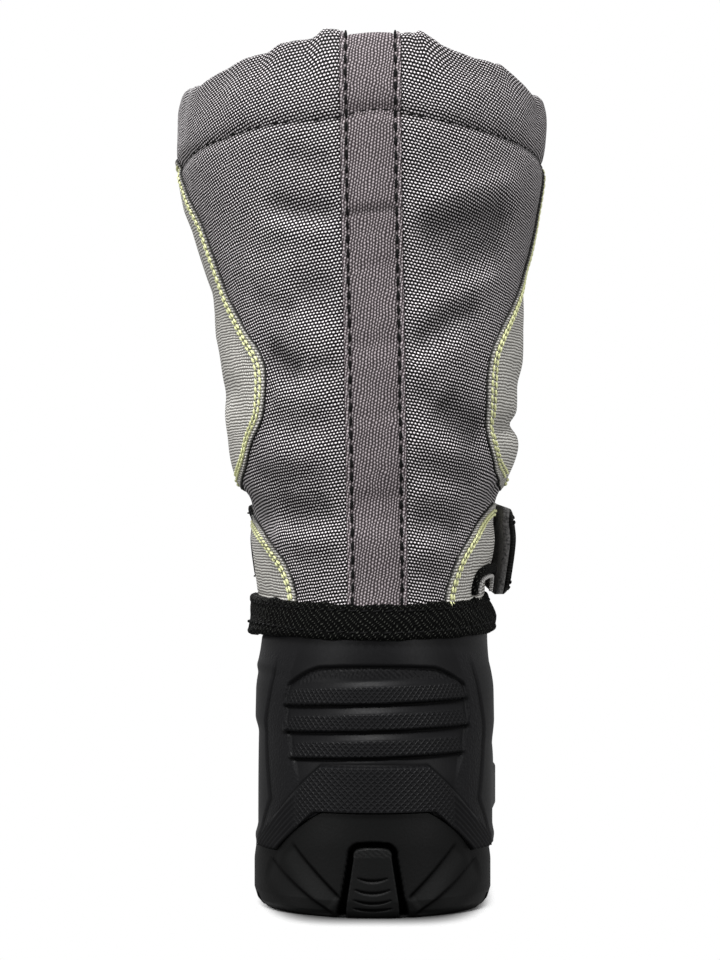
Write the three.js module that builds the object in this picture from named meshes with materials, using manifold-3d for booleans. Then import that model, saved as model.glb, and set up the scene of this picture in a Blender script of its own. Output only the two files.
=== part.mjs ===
// A child's right snow boot, standing empty on its sole.
// Millimetres, +Z up, toe towards -Y, the wearer's inner side towards +X.
// The origin is on the floor, in the middle of the heel's flat spot.
import * as THREE from "three";
import { mergeVertices } from "three/addons/utils/BufferGeometryUtils.js";
import Module from "manifold-3d";

const wasm = await Module();
wasm.setup();

// ---------------------------------------------------------------- driving sizes

const LENGTH = 208; // back of the heel to the tip of the toe
const HEEL_BACK_Y = 34; // back of the heel, behind the origin
const COLLAR_HEIGHT = 249.5; // top of the collar at the back

const GAP = 0.3; // clearance between pieces that meet
const SHELL_WALL = 2.7;
const UPPER_WALL = 4; // fabric, insulation and lining together
const INSOLE_THICKNESS = 4;
const INSOLE_PLAY = 0.8; // the insole lies loose in the upper

const HEEL_ROUND = { length: 36, fullness: 2 }; // how the plan rounds in at the heel
const TOE_ROUND = { length: 50, fullness: 2.3 }; // and, more bluntly, at the toe
const TOE_TIP_Z = 30; // height of the foremost point of the toe
// Heights over which the foot's width and its front line turn into the leg's.
const ANKLE = { widthFrom: 62, widthTo: 92, frontFrom: 92, frontTo: 104 };

const TAPE_WIDTH = 10.3;
const TAPE_THICKNESS = 1.6;
const SHELL_ABOVE_TAPE = 6; // the shell's edge stands this far above the tape's lower edge

const TOE_SPRING = { from: 165, rise: 10 }; // the tread lifts from here to the toe
const LUG_DEPTH = 4;
const GROOVE_WIDTH = 4.6;

const COLUMNS = 44; // points round the boot in each ring

// Plan of the foot: middle and half width, at each distance from the back of the heel.
const PLAN = [
  { s: 0, centre: 0, half: 34.4 },
  { s: 40, centre: 0, half: 34.8 },
  { s: 75, centre: -1.2, half: 33.2 },
  { s: 100, centre: -2.0, half: 33.8 },
  { s: 125, centre: -1.2, half: 37.2 },
  { s: 145, centre: -0.3, half: 39.5 },
  { s: 165, centre: 1.5, half: 39.3 },
  { s: 185, centre: 4.0, half: 38.0 },
  { s: 208, centre: 7.0, half: 37.0 },
];

// Top line of the toe and instep: how far forward the foot reaches at each height.
const INSTEP = [
  { z: 30, s: 208 },
  { z: 34, s: 207.6 },
  { z: 38, s: 206.4 },
  { z: 44, s: 203 },
  { z: 49, s: 197.5 },
  { z: 53, s: 190 },
  { z: 56, s: 181 },
  { z: 59, s: 170 },
  { z: 63, s: 157 },
  { z: 69, s: 145 },
  { z: 77, s: 133 },
  { z: 87, s: 122.5 },
  { z: 98, s: 113.5 },
  { z: 115, s: 103 },
  { z: 145, s: 90 },
  { z: 230, s: 60 },
];

// Sections of the leg: reach to the inner and outer side, back and front line, and lean of the back seam.
const LEG = [
  { z: 0, inner: 34.4, outer: 34.4, back: 0.0, front: 206.6, lean: 0 },
  { z: 15, inner: 34.6, outer: 34.8, back: 0.0, front: 207.4, lean: 0 },
  { z: 30, inner: 34.4, outer: 35.2, back: 0.0, front: 208.0, lean: 0 },
  { z: 45, inner: 34.4, outer: 35.4, back: 0.6, front: 200.0, lean: 0 },
  { z: 60, inner: 34.8, outer: 35.4, back: 1.8, front: 168.0, lean: 0 },
  { z: 75, inner: 34.8, outer: 34.6, back: 3.6, front: 136.0, lean: -0.3 },
  { z: 88, inner: 34.9, outer: 34.0, back: 5.2, front: 121.6, lean: -0.6 },
  { z: 92, inner: 35.2, outer: 34.0, back: 5.4, front: 118.2, lean: -0.7 },
  { z: 106, inner: 36.8, outer: 35.6, back: 4.6, front: 109.6, lean: -0.6 },
  { z: 113, inner: 36.4, outer: 35.2, back: 5.4, front: 107.2, lean: -0.5 },
  { z: 121, inner: 40.2, outer: 37.6, back: 4.4, front: 107.6, lean: -0.4 },
  { z: 130, inner: 43.0, outer: 41.2, back: 3.0, front: 108.6, lean: -0.3 },
  { z: 150, inner: 44.9, outer: 42.8, back: 2.0, front: 109.4, lean: 0 },
  { z: 164, inner: 46.8, outer: 44.4, back: 1.6, front: 110.8, lean: 0.2 },
  { z: 179, inner: 49.6, outer: 45.4, back: 1.2, front: 113.0, lean: 0.5 },
  { z: 194, inner: 54.0, outer: 47.4, back: 0.6, front: 116.4, lean: 0.8 },
  { z: 208, inner: 57.8, outer: 50.2, back: 0.2, front: 119.0, lean: 1.0 },
  { z: 223, inner: 60.2, outer: 51.2, back: 0.0, front: 120.6, lean: 1.2 },
  { z: 234, inner: 60.2, outer: 51.6, back: 0.6, front: 119.8, lean: 1.3 },
  { z: 242, inner: 57.4, outer: 49.4, back: 2.0, front: 117.2, lean: 1.3 },
  { z: 250, inner: 54.0, outer: 46.8, back: 4.2, front: 114.0, lean: 1.3 },
];

// Lines round the boot, as heights at each distance from the back of the heel.
const BED = [
  { s: 0, z: 14 },
  { s: 60, z: 13.6 },
  { s: 100, z: 12 },
  { s: 145, z: 11 },
  { s: 170, z: 11.8 },
  { s: 208, z: 16.5 },
];
const PARTING = [
  { s: 0, z: 29.7 },
  { s: 3.6, z: 29.7 },
  { s: 14.6, z: 17.8 },
  { s: 145, z: 18.6 },
  { s: 180, z: 22 },
  { s: 208, z: 30 },
];
const TAPE = [
  { s: 0, z: 77.8 },
  { s: 45, z: 79.8 },
  { s: 90, z: 80.6 },
  { s: 120, z: 83 },
];
const COLLAR = [
  { s: 0, z: 249.5 },
  { s: 10, z: 247.2 },
  { s: 20, z: 244.2 },
  { s: 33, z: 241.4 },
  { s: 60, z: 242 },
  { s: 120, z: 244 },
];

// Grooves across the tread: where each crosses the middle, and how far its ends sweep towards the toe.
const GROOVES = [
  { s: 22, sweep: 7 },
  { s: 46, sweep: 7 },
  { s: 121, sweep: 8 },
  { s: 137, sweep: 8 },
  { s: 153, sweep: 8 },
  { s: 169, sweep: 7 },
  { s: 184, sweep: 4 },
];
const ARCH = { from: 66, to: 110, rise: 4.5 }; // hollow under the waist of the sole

// The strap's course: turn round the boot in degrees from the back by the inner side, its two edges,
// and how far it stands off.
const STRAP_THICKNESS = 3;
const STRAP = [
  { turn: 108, low: 93.5, high: 118, off: 0.7 },
  { turn: 130, low: 94.5, high: 119.5, off: 0.7 },
  { turn: 150, low: 96, high: 121, off: 0.7 },
  { turn: 165, low: 97, high: 122, off: 0.7 },
  { turn: 180, low: 97.5, high: 122.5, off: 0.7 },
  { turn: 195, low: 97, high: 122, off: 0.7 },
  { turn: 210, low: 96.5, high: 121, off: 0.7 },
  { turn: 230, low: 95.5, high: 119.5, off: 0.8 },
  { turn: 246, low: 94, high: 118.6, off: 1.3 },
  { turn: 260, low: 91, high: 117.8, off: 2.5 },
  { turn: 272, low: 88.8, high: 117, off: 4.0 },
];

// The keeper's course up, along and down again: turn in degrees, and height above the tape.
const KEEPER = { width: 3.4, thickness: 1.8, off: 0.6 };
const KEEPER_COURSE = [
  { turn: 305, above: 0.8 },
  { turn: 305, above: 3.6 },
  { turn: 303.5, above: 6.2 },
  { turn: 300, above: 7.7 },
  { turn: 289, above: 8.3 },
  { turn: 278, above: 7.7 },
  { turn: 275, above: 6.2 },
  { turn: 273.5, above: 3.6 },
  { turn: 273.5, above: 0.8 },
];

// ---------------------------------------------------------------- curves through the tables

const clamp = (v, low, high) => Math.min(Math.max(v, low), high);
const mix = (a, b, t) => a + (b - a) * t;
const smooth = (from, to, v) => {
  const t = clamp((v - from) / (to - from), 0, 1);
  return t * t * (3 - 2 * t);
};

// The two rows of a table on either side of a value of its key column, and how far between them it lies.
function between(rows, key, value) {
  const last = rows.length - 1;
  const at = clamp(value, rows[0][key], rows[last][key]);
  let i = 1;
  while (i < last && rows[i][key] < at) i++;
  return { i, t: (at - rows[i - 1][key]) / (rows[i][key] - rows[i - 1][key]) };
}

// Straight lines through one column of a table.
function straight(rows, key, column) {
  return (value) => {
    const { i, t } = between(rows, key, value);
    return mix(rows[i - 1][column], rows[i][column], t);
  };
}

// A smooth curve through one column of a table.
function curve(rows, key, column) {
  const slope = (i) => {
    const a = rows[Math.max(i - 1, 0)];
    const b = rows[Math.min(i + 1, rows.length - 1)];
    return (b[column] - a[column]) / (b[key] - a[key]);
  };
  return (value) => {
    const { i, t } = between(rows, key, value);
    const span = rows[i][key] - rows[i - 1][key];
    const leave = slope(i - 1) * span * t * (1 - t) * (1 - t);
    const arrive = slope(i) * span * t * t * (1 - t);
    return mix(rows[i - 1][column], rows[i][column], smooth(0, 1, t)) + leave - arrive;
  };
}

const plan = { centre: curve(PLAN, "s", "centre"), half: curve(PLAN, "s", "half") };
const instep = curve(INSTEP, "z", "s");
const leg = {};
for (const column of ["inner", "outer", "back", "front", "lean"]) leg[column] = curve(LEG, "z", column);
const line = {
  bed: curve(BED, "s", "z"),
  parting: straight(PARTING, "s", "z"),
  tape: curve(TAPE, "s", "z"),
  collar: curve(COLLAR, "s", "z"),
  tread: (s) => TOE_SPRING.rise * clamp((s - TOE_SPRING.from) / (LENGTH - TOE_SPRING.from), 0, 1) ** 1.7,
};

// Height of the instep's top line at a distance from the heel.
function instepTop(s) {
  let low = TOE_TIP_Z;
  let high = INSTEP[INSTEP.length - 1].z;
  for (let i = 0; i < 24; i++) {
    const middle = (low + high) / 2;
    if (instep(middle) > s) low = middle;
    else high = middle;
  }
  return low;
}

// ---------------------------------------------------------------- the last: one surface for the whole boot

// Share of the full width at a distance from a rounded end.
function rounding(distance, { length, fullness }) {
  return (1 - (1 - clamp(distance / length, 0, 1)) ** fullness) ** (1 / fullness);
}

// How far forward the boot reaches at a height.
function frontAt(z) {
  if (z <= TOE_TIP_Z) return leg.front(z);
  return mix(instep(z), leg.front(z), smooth(ANKLE.frontFrom, ANKLE.frontTo, z));
}

// Half width of the foot at a distance from the heel and a height.
function footHalf(s, z, back, front) {
  const heel = rounding(s - back, HEEL_ROUND);
  if (z <= TOE_TIP_Z) {
    const stretched = (s * LENGTH) / front;
    return plan.half(s) * heel * rounding(LENGTH - stretched, TOE_ROUND);
  }
  const rise = clamp((z - TOE_TIP_Z) / (instepTop(s) - TOE_TIP_Z), 0, 1);
  const arch = Math.sqrt(1 - rise ** 2.4);
  return plan.half(s) * heel * rounding(LENGTH - s, TOE_ROUND) * arch;
}

// A point of the boot's outer surface, from a turn round it in radians and a height.
// The turn is 0 at the back, a quarter on the inner side and a half at the front.
function form(turn, z) {
  const back = leg.back(z);
  const front = frontAt(z);
  const s = mix(back, front, (1 - Math.cos(turn)) / 2);
  const inner = Math.sin(turn) >= 0;
  const lean = leg.lean(z);
  const reach = inner ? leg.inner(z) - lean : leg.outer(z) + lean;
  const share = smooth(ANKLE.widthFrom, ANKLE.widthTo, z);
  const half = mix(footHalf(s, z, back, front), reach * Math.abs(Math.sin(turn)), share);
  const centre = mix(plan.centre(s), lean, share);
  return new THREE.Vector3(centre + (inner ? half : -half), HEEL_BACK_Y - s, z);
}

// The outward direction there. The walls round the sole are upright.
function normal(turn, z) {
  const round = form(turn + 0.03, z).sub(form(turn - 0.03, z));
  const slope = form(turn, z + 0.8).sub(form(turn, z - 0.8)).normalize();
  const up = new THREE.Vector3(0, 0, 1).lerp(slope, smooth(TOE_TIP_Z, TOE_TIP_Z + 8, z));
  return up.cross(round).normalize();
}

const offset = (turn, z, out) => form(turn, z).addScaledVector(normal(turn, z), out);

// Heights along the wall are given as they are at the back; these lines carry them round the boot.
const LEVELS = [
  { level: 0, height: (s) => line.tread(s) },
  { level: 14, height: (s) => line.bed(s) },
  { level: 22, height: (s) => line.parting(s) },
  { level: 77.8, height: (s) => line.tape(s) },
  { level: 77.8 + TAPE_WIDTH, height: (s) => line.tape(s) + TAPE_WIDTH },
  { level: 170, height: () => 170 },
  { level: COLLAR_HEIGHT, height: (s) => line.collar(s) },
];
const PART_LEVEL = 22;
const TAPE_LEVEL = 77.8;
const SHELL_TOP_LEVEL = TAPE_LEVEL + SHELL_ABOVE_TAPE;

function heightAt(level, turn) {
  let i = 1;
  while (i < LEVELS.length - 1 && LEVELS[i].level < level) i++;
  const a = LEVELS[i - 1];
  const b = LEVELS[i];
  const s = (frontAt(level) * (1 - Math.cos(turn))) / 2;
  return mix(a.height(s), b.height(s), (level - a.level) / (b.level - a.level));
}

// A ring of points at a level, moved out from the surface, and up or down by a lift.
function ring(level, out, lift = 0) {
  const points = [];
  for (let i = 0; i < COLUMNS; i++) {
    const turn = ((i + 0.5) / COLUMNS) * 2 * Math.PI;
    points.push(offset(turn, heightAt(level, turn) + lift, out));
  }
  return points;
}

// ---------------------------------------------------------------- bodies from rings

// Joins rings of equal length. With a turning ring, the rings from there on run back down inside the
// others and the last joins the first; without one, each end is capped.
function body(rings, turning) {
  const count = rings[0].length;
  const at = (r, i) => (r % rings.length) * count + (i % count);
  const index = [];
  const quad = (a, b, c, d) => index.push(a, b, c, a, c, d);
  const spans = turning ? rings.length : rings.length - 1;
  for (let r = 0; r < spans; r++)
    for (let i = 0; i < count; i++) {
      // Both sides of a wall split their quads the same way, so that nested walls keep their gap.
      if (turning && r >= turning) quad(at(r, i + 1), at(r + 1, i + 1), at(r + 1, i), at(r, i));
      else quad(at(r, i), at(r, i + 1), at(r + 1, i + 1), at(r + 1, i));
    }
  if (!turning) {
    const top = rings.length - 1;
    for (let i = 0; i < count / 2 - 1; i++) {
      quad(at(0, i + 1), at(0, i), at(0, count - 1 - i), at(0, count - 2 - i));
      quad(at(top, i), at(top, i + 1), at(top, count - 2 - i), at(top, count - 1 - i));
    }
  }
  const positions = rings.flat().flatMap((p) => [p.x, p.y, p.z]);
  const geometry = new THREE.BufferGeometry();
  geometry.setAttribute("position", new THREE.Float32BufferAttribute(positions, 3));
  geometry.setIndex(signedVolume(positions, index) < 0 ? index.reverse() : index);
  return geometry;
}

function signedVolume(positions, index) {
  const corner = (i) => new THREE.Vector3().fromArray(positions, i * 3);
  let volume = 0;
  for (let i = 0; i < index.length; i += 3)
    volume += corner(index[i]).dot(corner(index[i + 1]).cross(corner(index[i + 2]))) / 6;
  return volume;
}

// A hollow wall: the outer rings upwards, then the inner ones back down.
const wall = (outer, inner) => body([...outer, ...inner.reverse()], outer.length);

// ---------------------------------------------------------------- booleans

function toSolid(geometry) {
  const bare = geometry.clone();
  for (const name of ["normal", "uv"]) bare.deleteAttribute(name);
  const merged = mergeVertices(bare, 1e-4);
  const triVerts = new Uint32Array(merged.index.array);
  const vertProperties = new Float32Array(merged.attributes.position.array);
  return new wasm.Manifold(new wasm.Mesh({ numProp: 3, vertProperties, triVerts }));
}

function toGeometry(solid) {
  const made = solid.getMesh();
  const geometry = new THREE.BufferGeometry();
  geometry.setAttribute("position", new THREE.Float32BufferAttribute(made.vertProperties, 3));
  geometry.setIndex(new THREE.BufferAttribute(made.triVerts, 1));
  return geometry;
}

// ---------------------------------------------------------------- pieces

const SHELL_LEVELS = [30, 38, 44, 49, 53, 56.5, 60, 65, 71, TAPE_LEVEL];
const LEG_LEVELS = [95, 102, 108, 113, 117, 121, 126, 134, 144, 155, 167, 180, 193, 206, 218, 228, 236, 243];
const LINING_LEVELS = [30, 44, 53, 60, 71, 83, 95, 108, 117, 126, 144, 167, 193, 218, 236];

function upper() {
  const under = -(SHELL_WALL + GAP);
  const outer = [ring(14, under, GAP), ring(PART_LEVEL, under)];
  for (const level of SHELL_LEVELS) outer.push(ring(level, under));
  outer.push(ring(SHELL_TOP_LEVEL, under, GAP), ring(SHELL_TOP_LEVEL, 0, GAP));
  outer.push(ring(TAPE_LEVEL + TAPE_WIDTH, 0));
  for (const level of LEG_LEVELS) outer.push(ring(level, 0));
  outer.push(ring(COLLAR_HEIGHT, -0.6));
  const lining = (level) => -UPPER_WALL + under * (1 - smooth(80, 100, level));
  const inner = [ring(14, lining(14), GAP), ring(PART_LEVEL, lining(PART_LEVEL))];
  for (const level of LINING_LEVELS) inner.push(ring(level, lining(level)));
  inner.push(ring(COLLAR_HEIGHT, -UPPER_WALL));
  return wall(outer, inner);
}

function shell() {
  const outer = [ring(PART_LEVEL, 0, GAP / 2)];
  const inner = [ring(PART_LEVEL, -SHELL_WALL, GAP / 2)];
  for (const level of [...SHELL_LEVELS, SHELL_TOP_LEVEL]) {
    outer.push(ring(level, 0));
    inner.push(ring(level, -SHELL_WALL));
  }
  return wall(outer, inner);
}

function binding() {
  const levels = [TAPE_LEVEL, SHELL_TOP_LEVEL, TAPE_LEVEL + TAPE_WIDTH];
  return wall(
    levels.map((level) => ring(level, GAP + TAPE_THICKNESS)),
    levels.map((level) => ring(level, GAP)),
  );
}

function insole() {
  const edge = -(SHELL_WALL + GAP + UPPER_WALL + INSOLE_PLAY);
  return body([ring(14, edge, GAP), ring(14, edge, GAP + INSOLE_THICKNESS)]);
}

// A V-shaped channel across the whole tread, cut from below.
function grooveCutter({ s, sweep }) {
  const reach = 60;
  const y = HEEL_BACK_Y - s;
  const half = GROOVE_WIDTH / 2;
  const slant = (sweep * reach) / 40;
  const outline = new THREE.Shape([
    new THREE.Vector2(0, y + half),
    new THREE.Vector2(-reach, y + half - slant),
    new THREE.Vector2(-reach, y - half - slant),
    new THREE.Vector2(0, y - half),
    new THREE.Vector2(reach, y - half - slant),
    new THREE.Vector2(reach, y + half - slant),
  ]);
  const geometry = new THREE.ExtrudeGeometry(outline, { depth: LUG_DEPTH + 10, bevelEnabled: false });
  return geometry.translate(0, 0, line.tread(s) - 10);
}

// The hollow under the waist: an arched profile drawn on length and height, run across the sole.
function archCutter() {
  const outline = new THREE.Shape();
  outline.moveTo(ARCH.from - 3, -1);
  outline.lineTo(ARCH.from, 1);
  outline.quadraticCurveTo(mix(ARCH.from, ARCH.to, 0.15), ARCH.rise, mix(ARCH.from, ARCH.to, 0.4), ARCH.rise);
  outline.quadraticCurveTo(mix(ARCH.from, ARCH.to, 0.8), ARCH.rise, ARCH.to, 1);
  outline.lineTo(ARCH.to + 3, -1);
  const geometry = new THREE.ExtrudeGeometry(outline, { depth: 120, bevelEnabled: false, curveSegments: 6 });
  return geometry.applyMatrix4(
    new THREE.Matrix4().makeBasis(
      new THREE.Vector3(0, -1, 0),
      new THREE.Vector3(0, 0, 1),
      new THREE.Vector3(-1, 0, 0),
    ).setPosition(60, HEEL_BACK_Y, 0),
  );
}

function outsole() {
  const side = [
    { level: 0, out: -2.2, lift: 0 },
    { level: 0, out: -0.4, lift: 2 },
    { level: 0, out: 0.5, lift: 5 },
    { level: 14, out: 0.5, lift: -2 },
    { level: PART_LEVEL, out: 0, lift: -GAP / 2 },
    { level: PART_LEVEL, out: -SHELL_WALL, lift: -GAP / 2 },
    { level: 14, out: -SHELL_WALL, lift: 0 },
  ];
  let solid = toSolid(body(side.map(({ level, out, lift }) => ring(level, out, lift))));
  for (const groove of GROOVES) solid = solid.subtract(toSolid(grooveCutter(groove)));
  return toGeometry(solid.subtract(toSolid(archCutter())));
}

function strap() {
  const low = curve(STRAP, "turn", "low");
  const high = curve(STRAP, "turn", "high");
  const off = curve(STRAP, "turn", "off");
  const first = STRAP[0].turn;
  const last = STRAP[STRAP.length - 1].turn;
  const steps = 36;
  const rings = [];
  for (let i = 0; i <= steps; i++) {
    const turn = mix(first, last, i / steps);
    const edge = [0, 1 / 3, 2 / 3, 1].map((t) => mix(low(turn), high(turn), t));
    const radians = THREE.MathUtils.degToRad(turn);
    rings.push([
      ...edge.map((z) => offset(radians, z, off(turn) + STRAP_THICKNESS)),
      ...edge.reverse().map((z) => offset(radians, z, off(turn))),
    ]);
  }
  return body(rings);
}

function keeper() {
  const spots = KEEPER_COURSE.map(({ turn, above }) => {
    const radians = THREE.MathUtils.degToRad(turn);
    const z = heightAt(TAPE_LEVEL + TAPE_WIDTH, radians) + above;
    return { at: offset(radians, z, KEEPER.off + KEEPER.thickness / 2), out: normal(radians, z) };
  });
  const rings = spots.map(({ at, out }, i) => {
    const before = spots[Math.max(i - 1, 0)].at;
    const after = spots[Math.min(i + 1, spots.length - 1)].at;
    const across = after.clone().sub(before).cross(out).normalize();
    across.multiplyScalar(KEEPER.width / 2);
    const deep = out.multiplyScalar(KEEPER.thickness / 2);
    const corner = (a, b) => at.clone().addScaledVector(across, a).addScaledVector(deep, b);
    return [corner(-1, 1), corner(1, 1), corner(1, -1), corner(-1, -1)];
  });
  return body(rings);
}

// ---------------------------------------------------------------- the boot

const rubber = { color: 0x1f2021, roughness: 0.62, metalness: 0 };
const webbing = { color: 0x171817, roughness: 0.9, metalness: 0 };
const PIECES = [
  { name: "outsole", make: outsole, look: rubber },
  { name: "shell", make: shell, look: rubber },
  { name: "upper", make: upper, look: { color: 0x7a7677, roughness: 0.85, metalness: 0 } },
  { name: "insole", make: insole, look: { color: 0x3c3b3d, roughness: 0.95, metalness: 0 } },
  { name: "binding", make: binding, look: webbing },
  { name: "strap", make: strap, look: webbing },
  { name: "keeper", make: keeper, look: webbing },
];

const boot = new THREE.Group();
boot.name = "snow_boot";
for (const { name, make, look } of PIECES) {
  const mesh = new THREE.Mesh(make(), new THREE.MeshStandardMaterial(look));
  mesh.name = name;
  boot.add(mesh);
}

export default boot;
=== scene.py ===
"""Visual model of a child's right snow boot, standing empty on its sole.

Sizes are worked in millimetres and meshes are made in metres. +Z is up, the toe points to -Y, and the
wearer's inner side is +X. The boot's surface is given by a turn round it in degrees, 0 at the back and 90 on
the inner side, and a height.
"""

import math

import bmesh
import bpy
import numpy as np
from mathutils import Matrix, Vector


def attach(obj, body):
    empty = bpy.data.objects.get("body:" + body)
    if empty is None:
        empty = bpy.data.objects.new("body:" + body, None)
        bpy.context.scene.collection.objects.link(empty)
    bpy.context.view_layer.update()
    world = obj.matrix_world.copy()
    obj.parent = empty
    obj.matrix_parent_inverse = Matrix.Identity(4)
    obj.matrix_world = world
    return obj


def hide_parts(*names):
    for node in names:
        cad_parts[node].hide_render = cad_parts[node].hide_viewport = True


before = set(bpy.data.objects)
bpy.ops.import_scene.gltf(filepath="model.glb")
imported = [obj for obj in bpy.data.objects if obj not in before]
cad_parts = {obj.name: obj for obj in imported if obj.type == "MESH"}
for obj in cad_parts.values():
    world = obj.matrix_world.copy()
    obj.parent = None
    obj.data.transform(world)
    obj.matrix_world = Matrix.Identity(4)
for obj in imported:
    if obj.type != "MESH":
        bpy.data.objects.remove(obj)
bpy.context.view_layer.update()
MM = 0.001
SEED = 11

# ---------------------------------------------------------------- camera

camera = bpy.data.objects.new("camera", bpy.data.cameras.new("camera"))
bpy.context.scene.collection.objects.link(camera)
camera.location = (0, 0.734, 0.106)  # level, behind the heel and looking towards the toe
camera.rotation_euler = (math.radians(90), 0, math.radians(180))
camera.data.lens = 93.75
camera.data.shift_x = -15 / 960
camera.data.shift_y = 61 / 960
camera.data.dof.use_dof = False
camera.data.clip_start, camera.data.clip_end = 0.05, 50
bpy.context.scene.camera = camera

# ---------------------------------------------------------------- sizes of the boot, in millimetres

LENGTH = 208
HEEL_BACK_Y = 34
TOE_TIP_Z = 30
TAPE_LEVEL, TAPE_WIDTH = 77.8, 10.3
SHELL_TOP_LEVEL = 83.8
SHELL_WALL = 2.7
COLLAR_LEVEL = 249.5
PART_LEVEL = 22
GAP = 0.3
HEEL_ROUND, TOE_ROUND = 36, 50  # lengths over which the plan's two ends are rounded off
FOOT_TO, LEG_FROM = 62, 92  # heights between which the foot's form passes into the leg's
FABRIC_THICKNESS = 4.2
COLLAR_ROLL = FABRIC_THICKNESS / 2  # radius of the fabric's turn over the collar's edge
STRAP_THICKNESS = 3
BED_LEVEL = 14
TREAD_FROM, TOE_SPRING = 165, 10  # where the tread leaves the floor, and how far it has risen at the toe


def table(names, *rows):
    return dict(zip(names.split(), np.array(rows, float).T))


PLAN = table(
    "s centre half",
    (0, 0, 34.4), (40, 0, 34.8), (75, -1.2, 33.2), (100, -2, 33.8), (125, -1.2, 37.2),
    (145, -0.3, 39.5), (165, 1.5, 39.3), (185, 4, 38), (208, 7, 37),
)
INSTEP = table(
    "z s",
    (30, 208), (34, 207.6), (38, 206.4), (44, 203), (49, 197.5), (53, 190), (56, 181), (59, 170),
    (63, 157), (69, 145), (77, 133), (87, 122.5), (98, 113.5), (115, 103), (145, 90), (230, 60),
)
LEG = table(
    "z inner outer back front lean",
    (0, 34.4, 34.4, 0, 206.6, 0), (15, 34.6, 34.8, 0, 207.4, 0), (30, 34.4, 35.2, 0, 208, 0),
    (45, 34.4, 35.4, 0.6, 200, 0), (60, 34.8, 35.4, 1.8, 168, 0), (75, 34.8, 34.6, 3.6, 136, -0.3),
    (88, 34.9, 34, 5.2, 121.6, -0.6), (92, 35.2, 34, 5.4, 118.2, -0.7), (106, 36.8, 35.6, 4.6, 109.6, -0.6),
    (113, 36.4, 35.2, 5.4, 107.2, -0.5), (121, 40.2, 37.6, 4.4, 107.6, -0.4), (130, 43, 41.2, 3, 108.6, -0.3),
    (150, 44.9, 42.8, 2, 109.4, 0), (164, 46.8, 44.4, 1.6, 110.8, 0.2), (179, 49.6, 45.4, 1.2, 113, 0.5),
    (194, 54, 47.4, 0.6, 116.4, 0.8), (208, 57.8, 50.2, 0.2, 119, 1), (223, 60.2, 51.2, 0, 120.6, 1.2),
    (234, 60.2, 51.6, 0.6, 119.8, 1.3), (242, 57.4, 49.4, 2, 117.2, 1.3), (250, 54, 46.8, 4.2, 114, 1.3),
)
BED = table("s z", (0, 14), (60, 13.6), (100, 12), (145, 11), (170, 11.8), (208, 16.5))
PARTING = table("s z", (0, 29.7), (3.6, 29.7), (14.6, 17.8), (145, 18.6), (180, 22), (208, 30))
TAPE = table("s z", (0, 77.8), (45, 79.8), (90, 80.6), (120, 83))
COLLAR = table("s z", (0, 249.5), (10, 247.2), (20, 244.2), (33, 241.4), (60, 242), (120, 244))
STRAP = table(
    "turn low high off",
    (108, 93.5, 118, 0.7), (130, 94.5, 119.5, 0.7), (150, 96, 121, 0.7), (165, 97, 122, 0.7),
    (180, 97.5, 122.5, 0.7), (195, 97, 122, 0.7), (210, 96.5, 121, 0.7), (230, 95.5, 119.5, 0.8),
    (246, 94, 118.6, 1.3), (260, 91, 117.8, 2.5), (272, 88.8, 117, 4),
)
KEEPER_COURSE = table(
    "turn above",
    (305, 0.8), (305, 3.6), (303.5, 6.2), (300, 7.7), (289, 8.3), (278, 7.7), (275, 6.2),
    (273.5, 3.6), (273.5, 0.8),
)
GROOVES = [(22, 7), (46, 7), (121, 8), (137, 8), (153, 8), (169, 7), (184, 4)]
GROOVE_WIDTH, LUG_DEPTH = 4.6, 4
ARCH_FROM, ARCH_TO, ARCH_RISE = 66, 110, 4.5

# ---------------------------------------------------------------- the boot's surface


def mix(a, b, t):
    return a + (b - a) * t


def smooth(start, end, value):
    t = np.clip((value - start) / (end - start), 0, 1)
    return t * t * (3 - 2 * t)


def bell(distance, width):
    """1 at no distance, falling away on both sides over a width."""
    return np.exp(-((distance / width) ** 2))


def measured(points, axis=0):
    """Distance along each line of points from the first of them."""
    steps = np.linalg.norm(np.diff(points, axis=axis), axis=-1)
    return np.concatenate([np.zeros_like(np.take(steps, [0], axis)), np.cumsum(steps, axis)], axis)


def curve(rows, key, column, value):
    """A smooth curve through one column of a table."""
    keys, values = rows[key], rows[column]
    last = len(keys) - 1
    before, after = np.maximum(np.arange(last + 1) - 1, 0), np.minimum(np.arange(last + 1) + 1, last)
    slopes = (values[after] - values[before]) / (keys[after] - keys[before])
    at = np.clip(value, keys[0], keys[-1])
    i = np.clip(np.searchsorted(keys, at), 1, last)
    span = keys[i] - keys[i - 1]
    t = (at - keys[i - 1]) / span
    bend = slopes[i - 1] * span * t * (1 - t) ** 2 - slopes[i] * span * t * t * (1 - t)
    return mix(values[i - 1], values[i], smooth(0, 1, t)) + bend


_heights = np.linspace(30, 230, 4001)
_reaches = curve(INSTEP, "z", "s", _heights)


def instep_top(s):
    return np.interp(-np.asarray(s, float), -_reaches, _heights)


def rounding(distance, length, fullness):
    """Share of the full width at a distance from an end that is rounded off over a length."""
    return (1 - (1 - np.clip(distance / length, 0, 1)) ** fullness) ** (1 / fullness)


def front_at(z):
    """Distance of the front of the boot from the back of the heel, at a height."""
    high = mix(curve(INSTEP, "z", "s", z), curve(LEG, "z", "front", z), smooth(LEG_FROM, LEG_FROM + 12, z))
    return np.where(z <= TOE_TIP_Z, curve(LEG, "z", "front", z), high)


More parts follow.
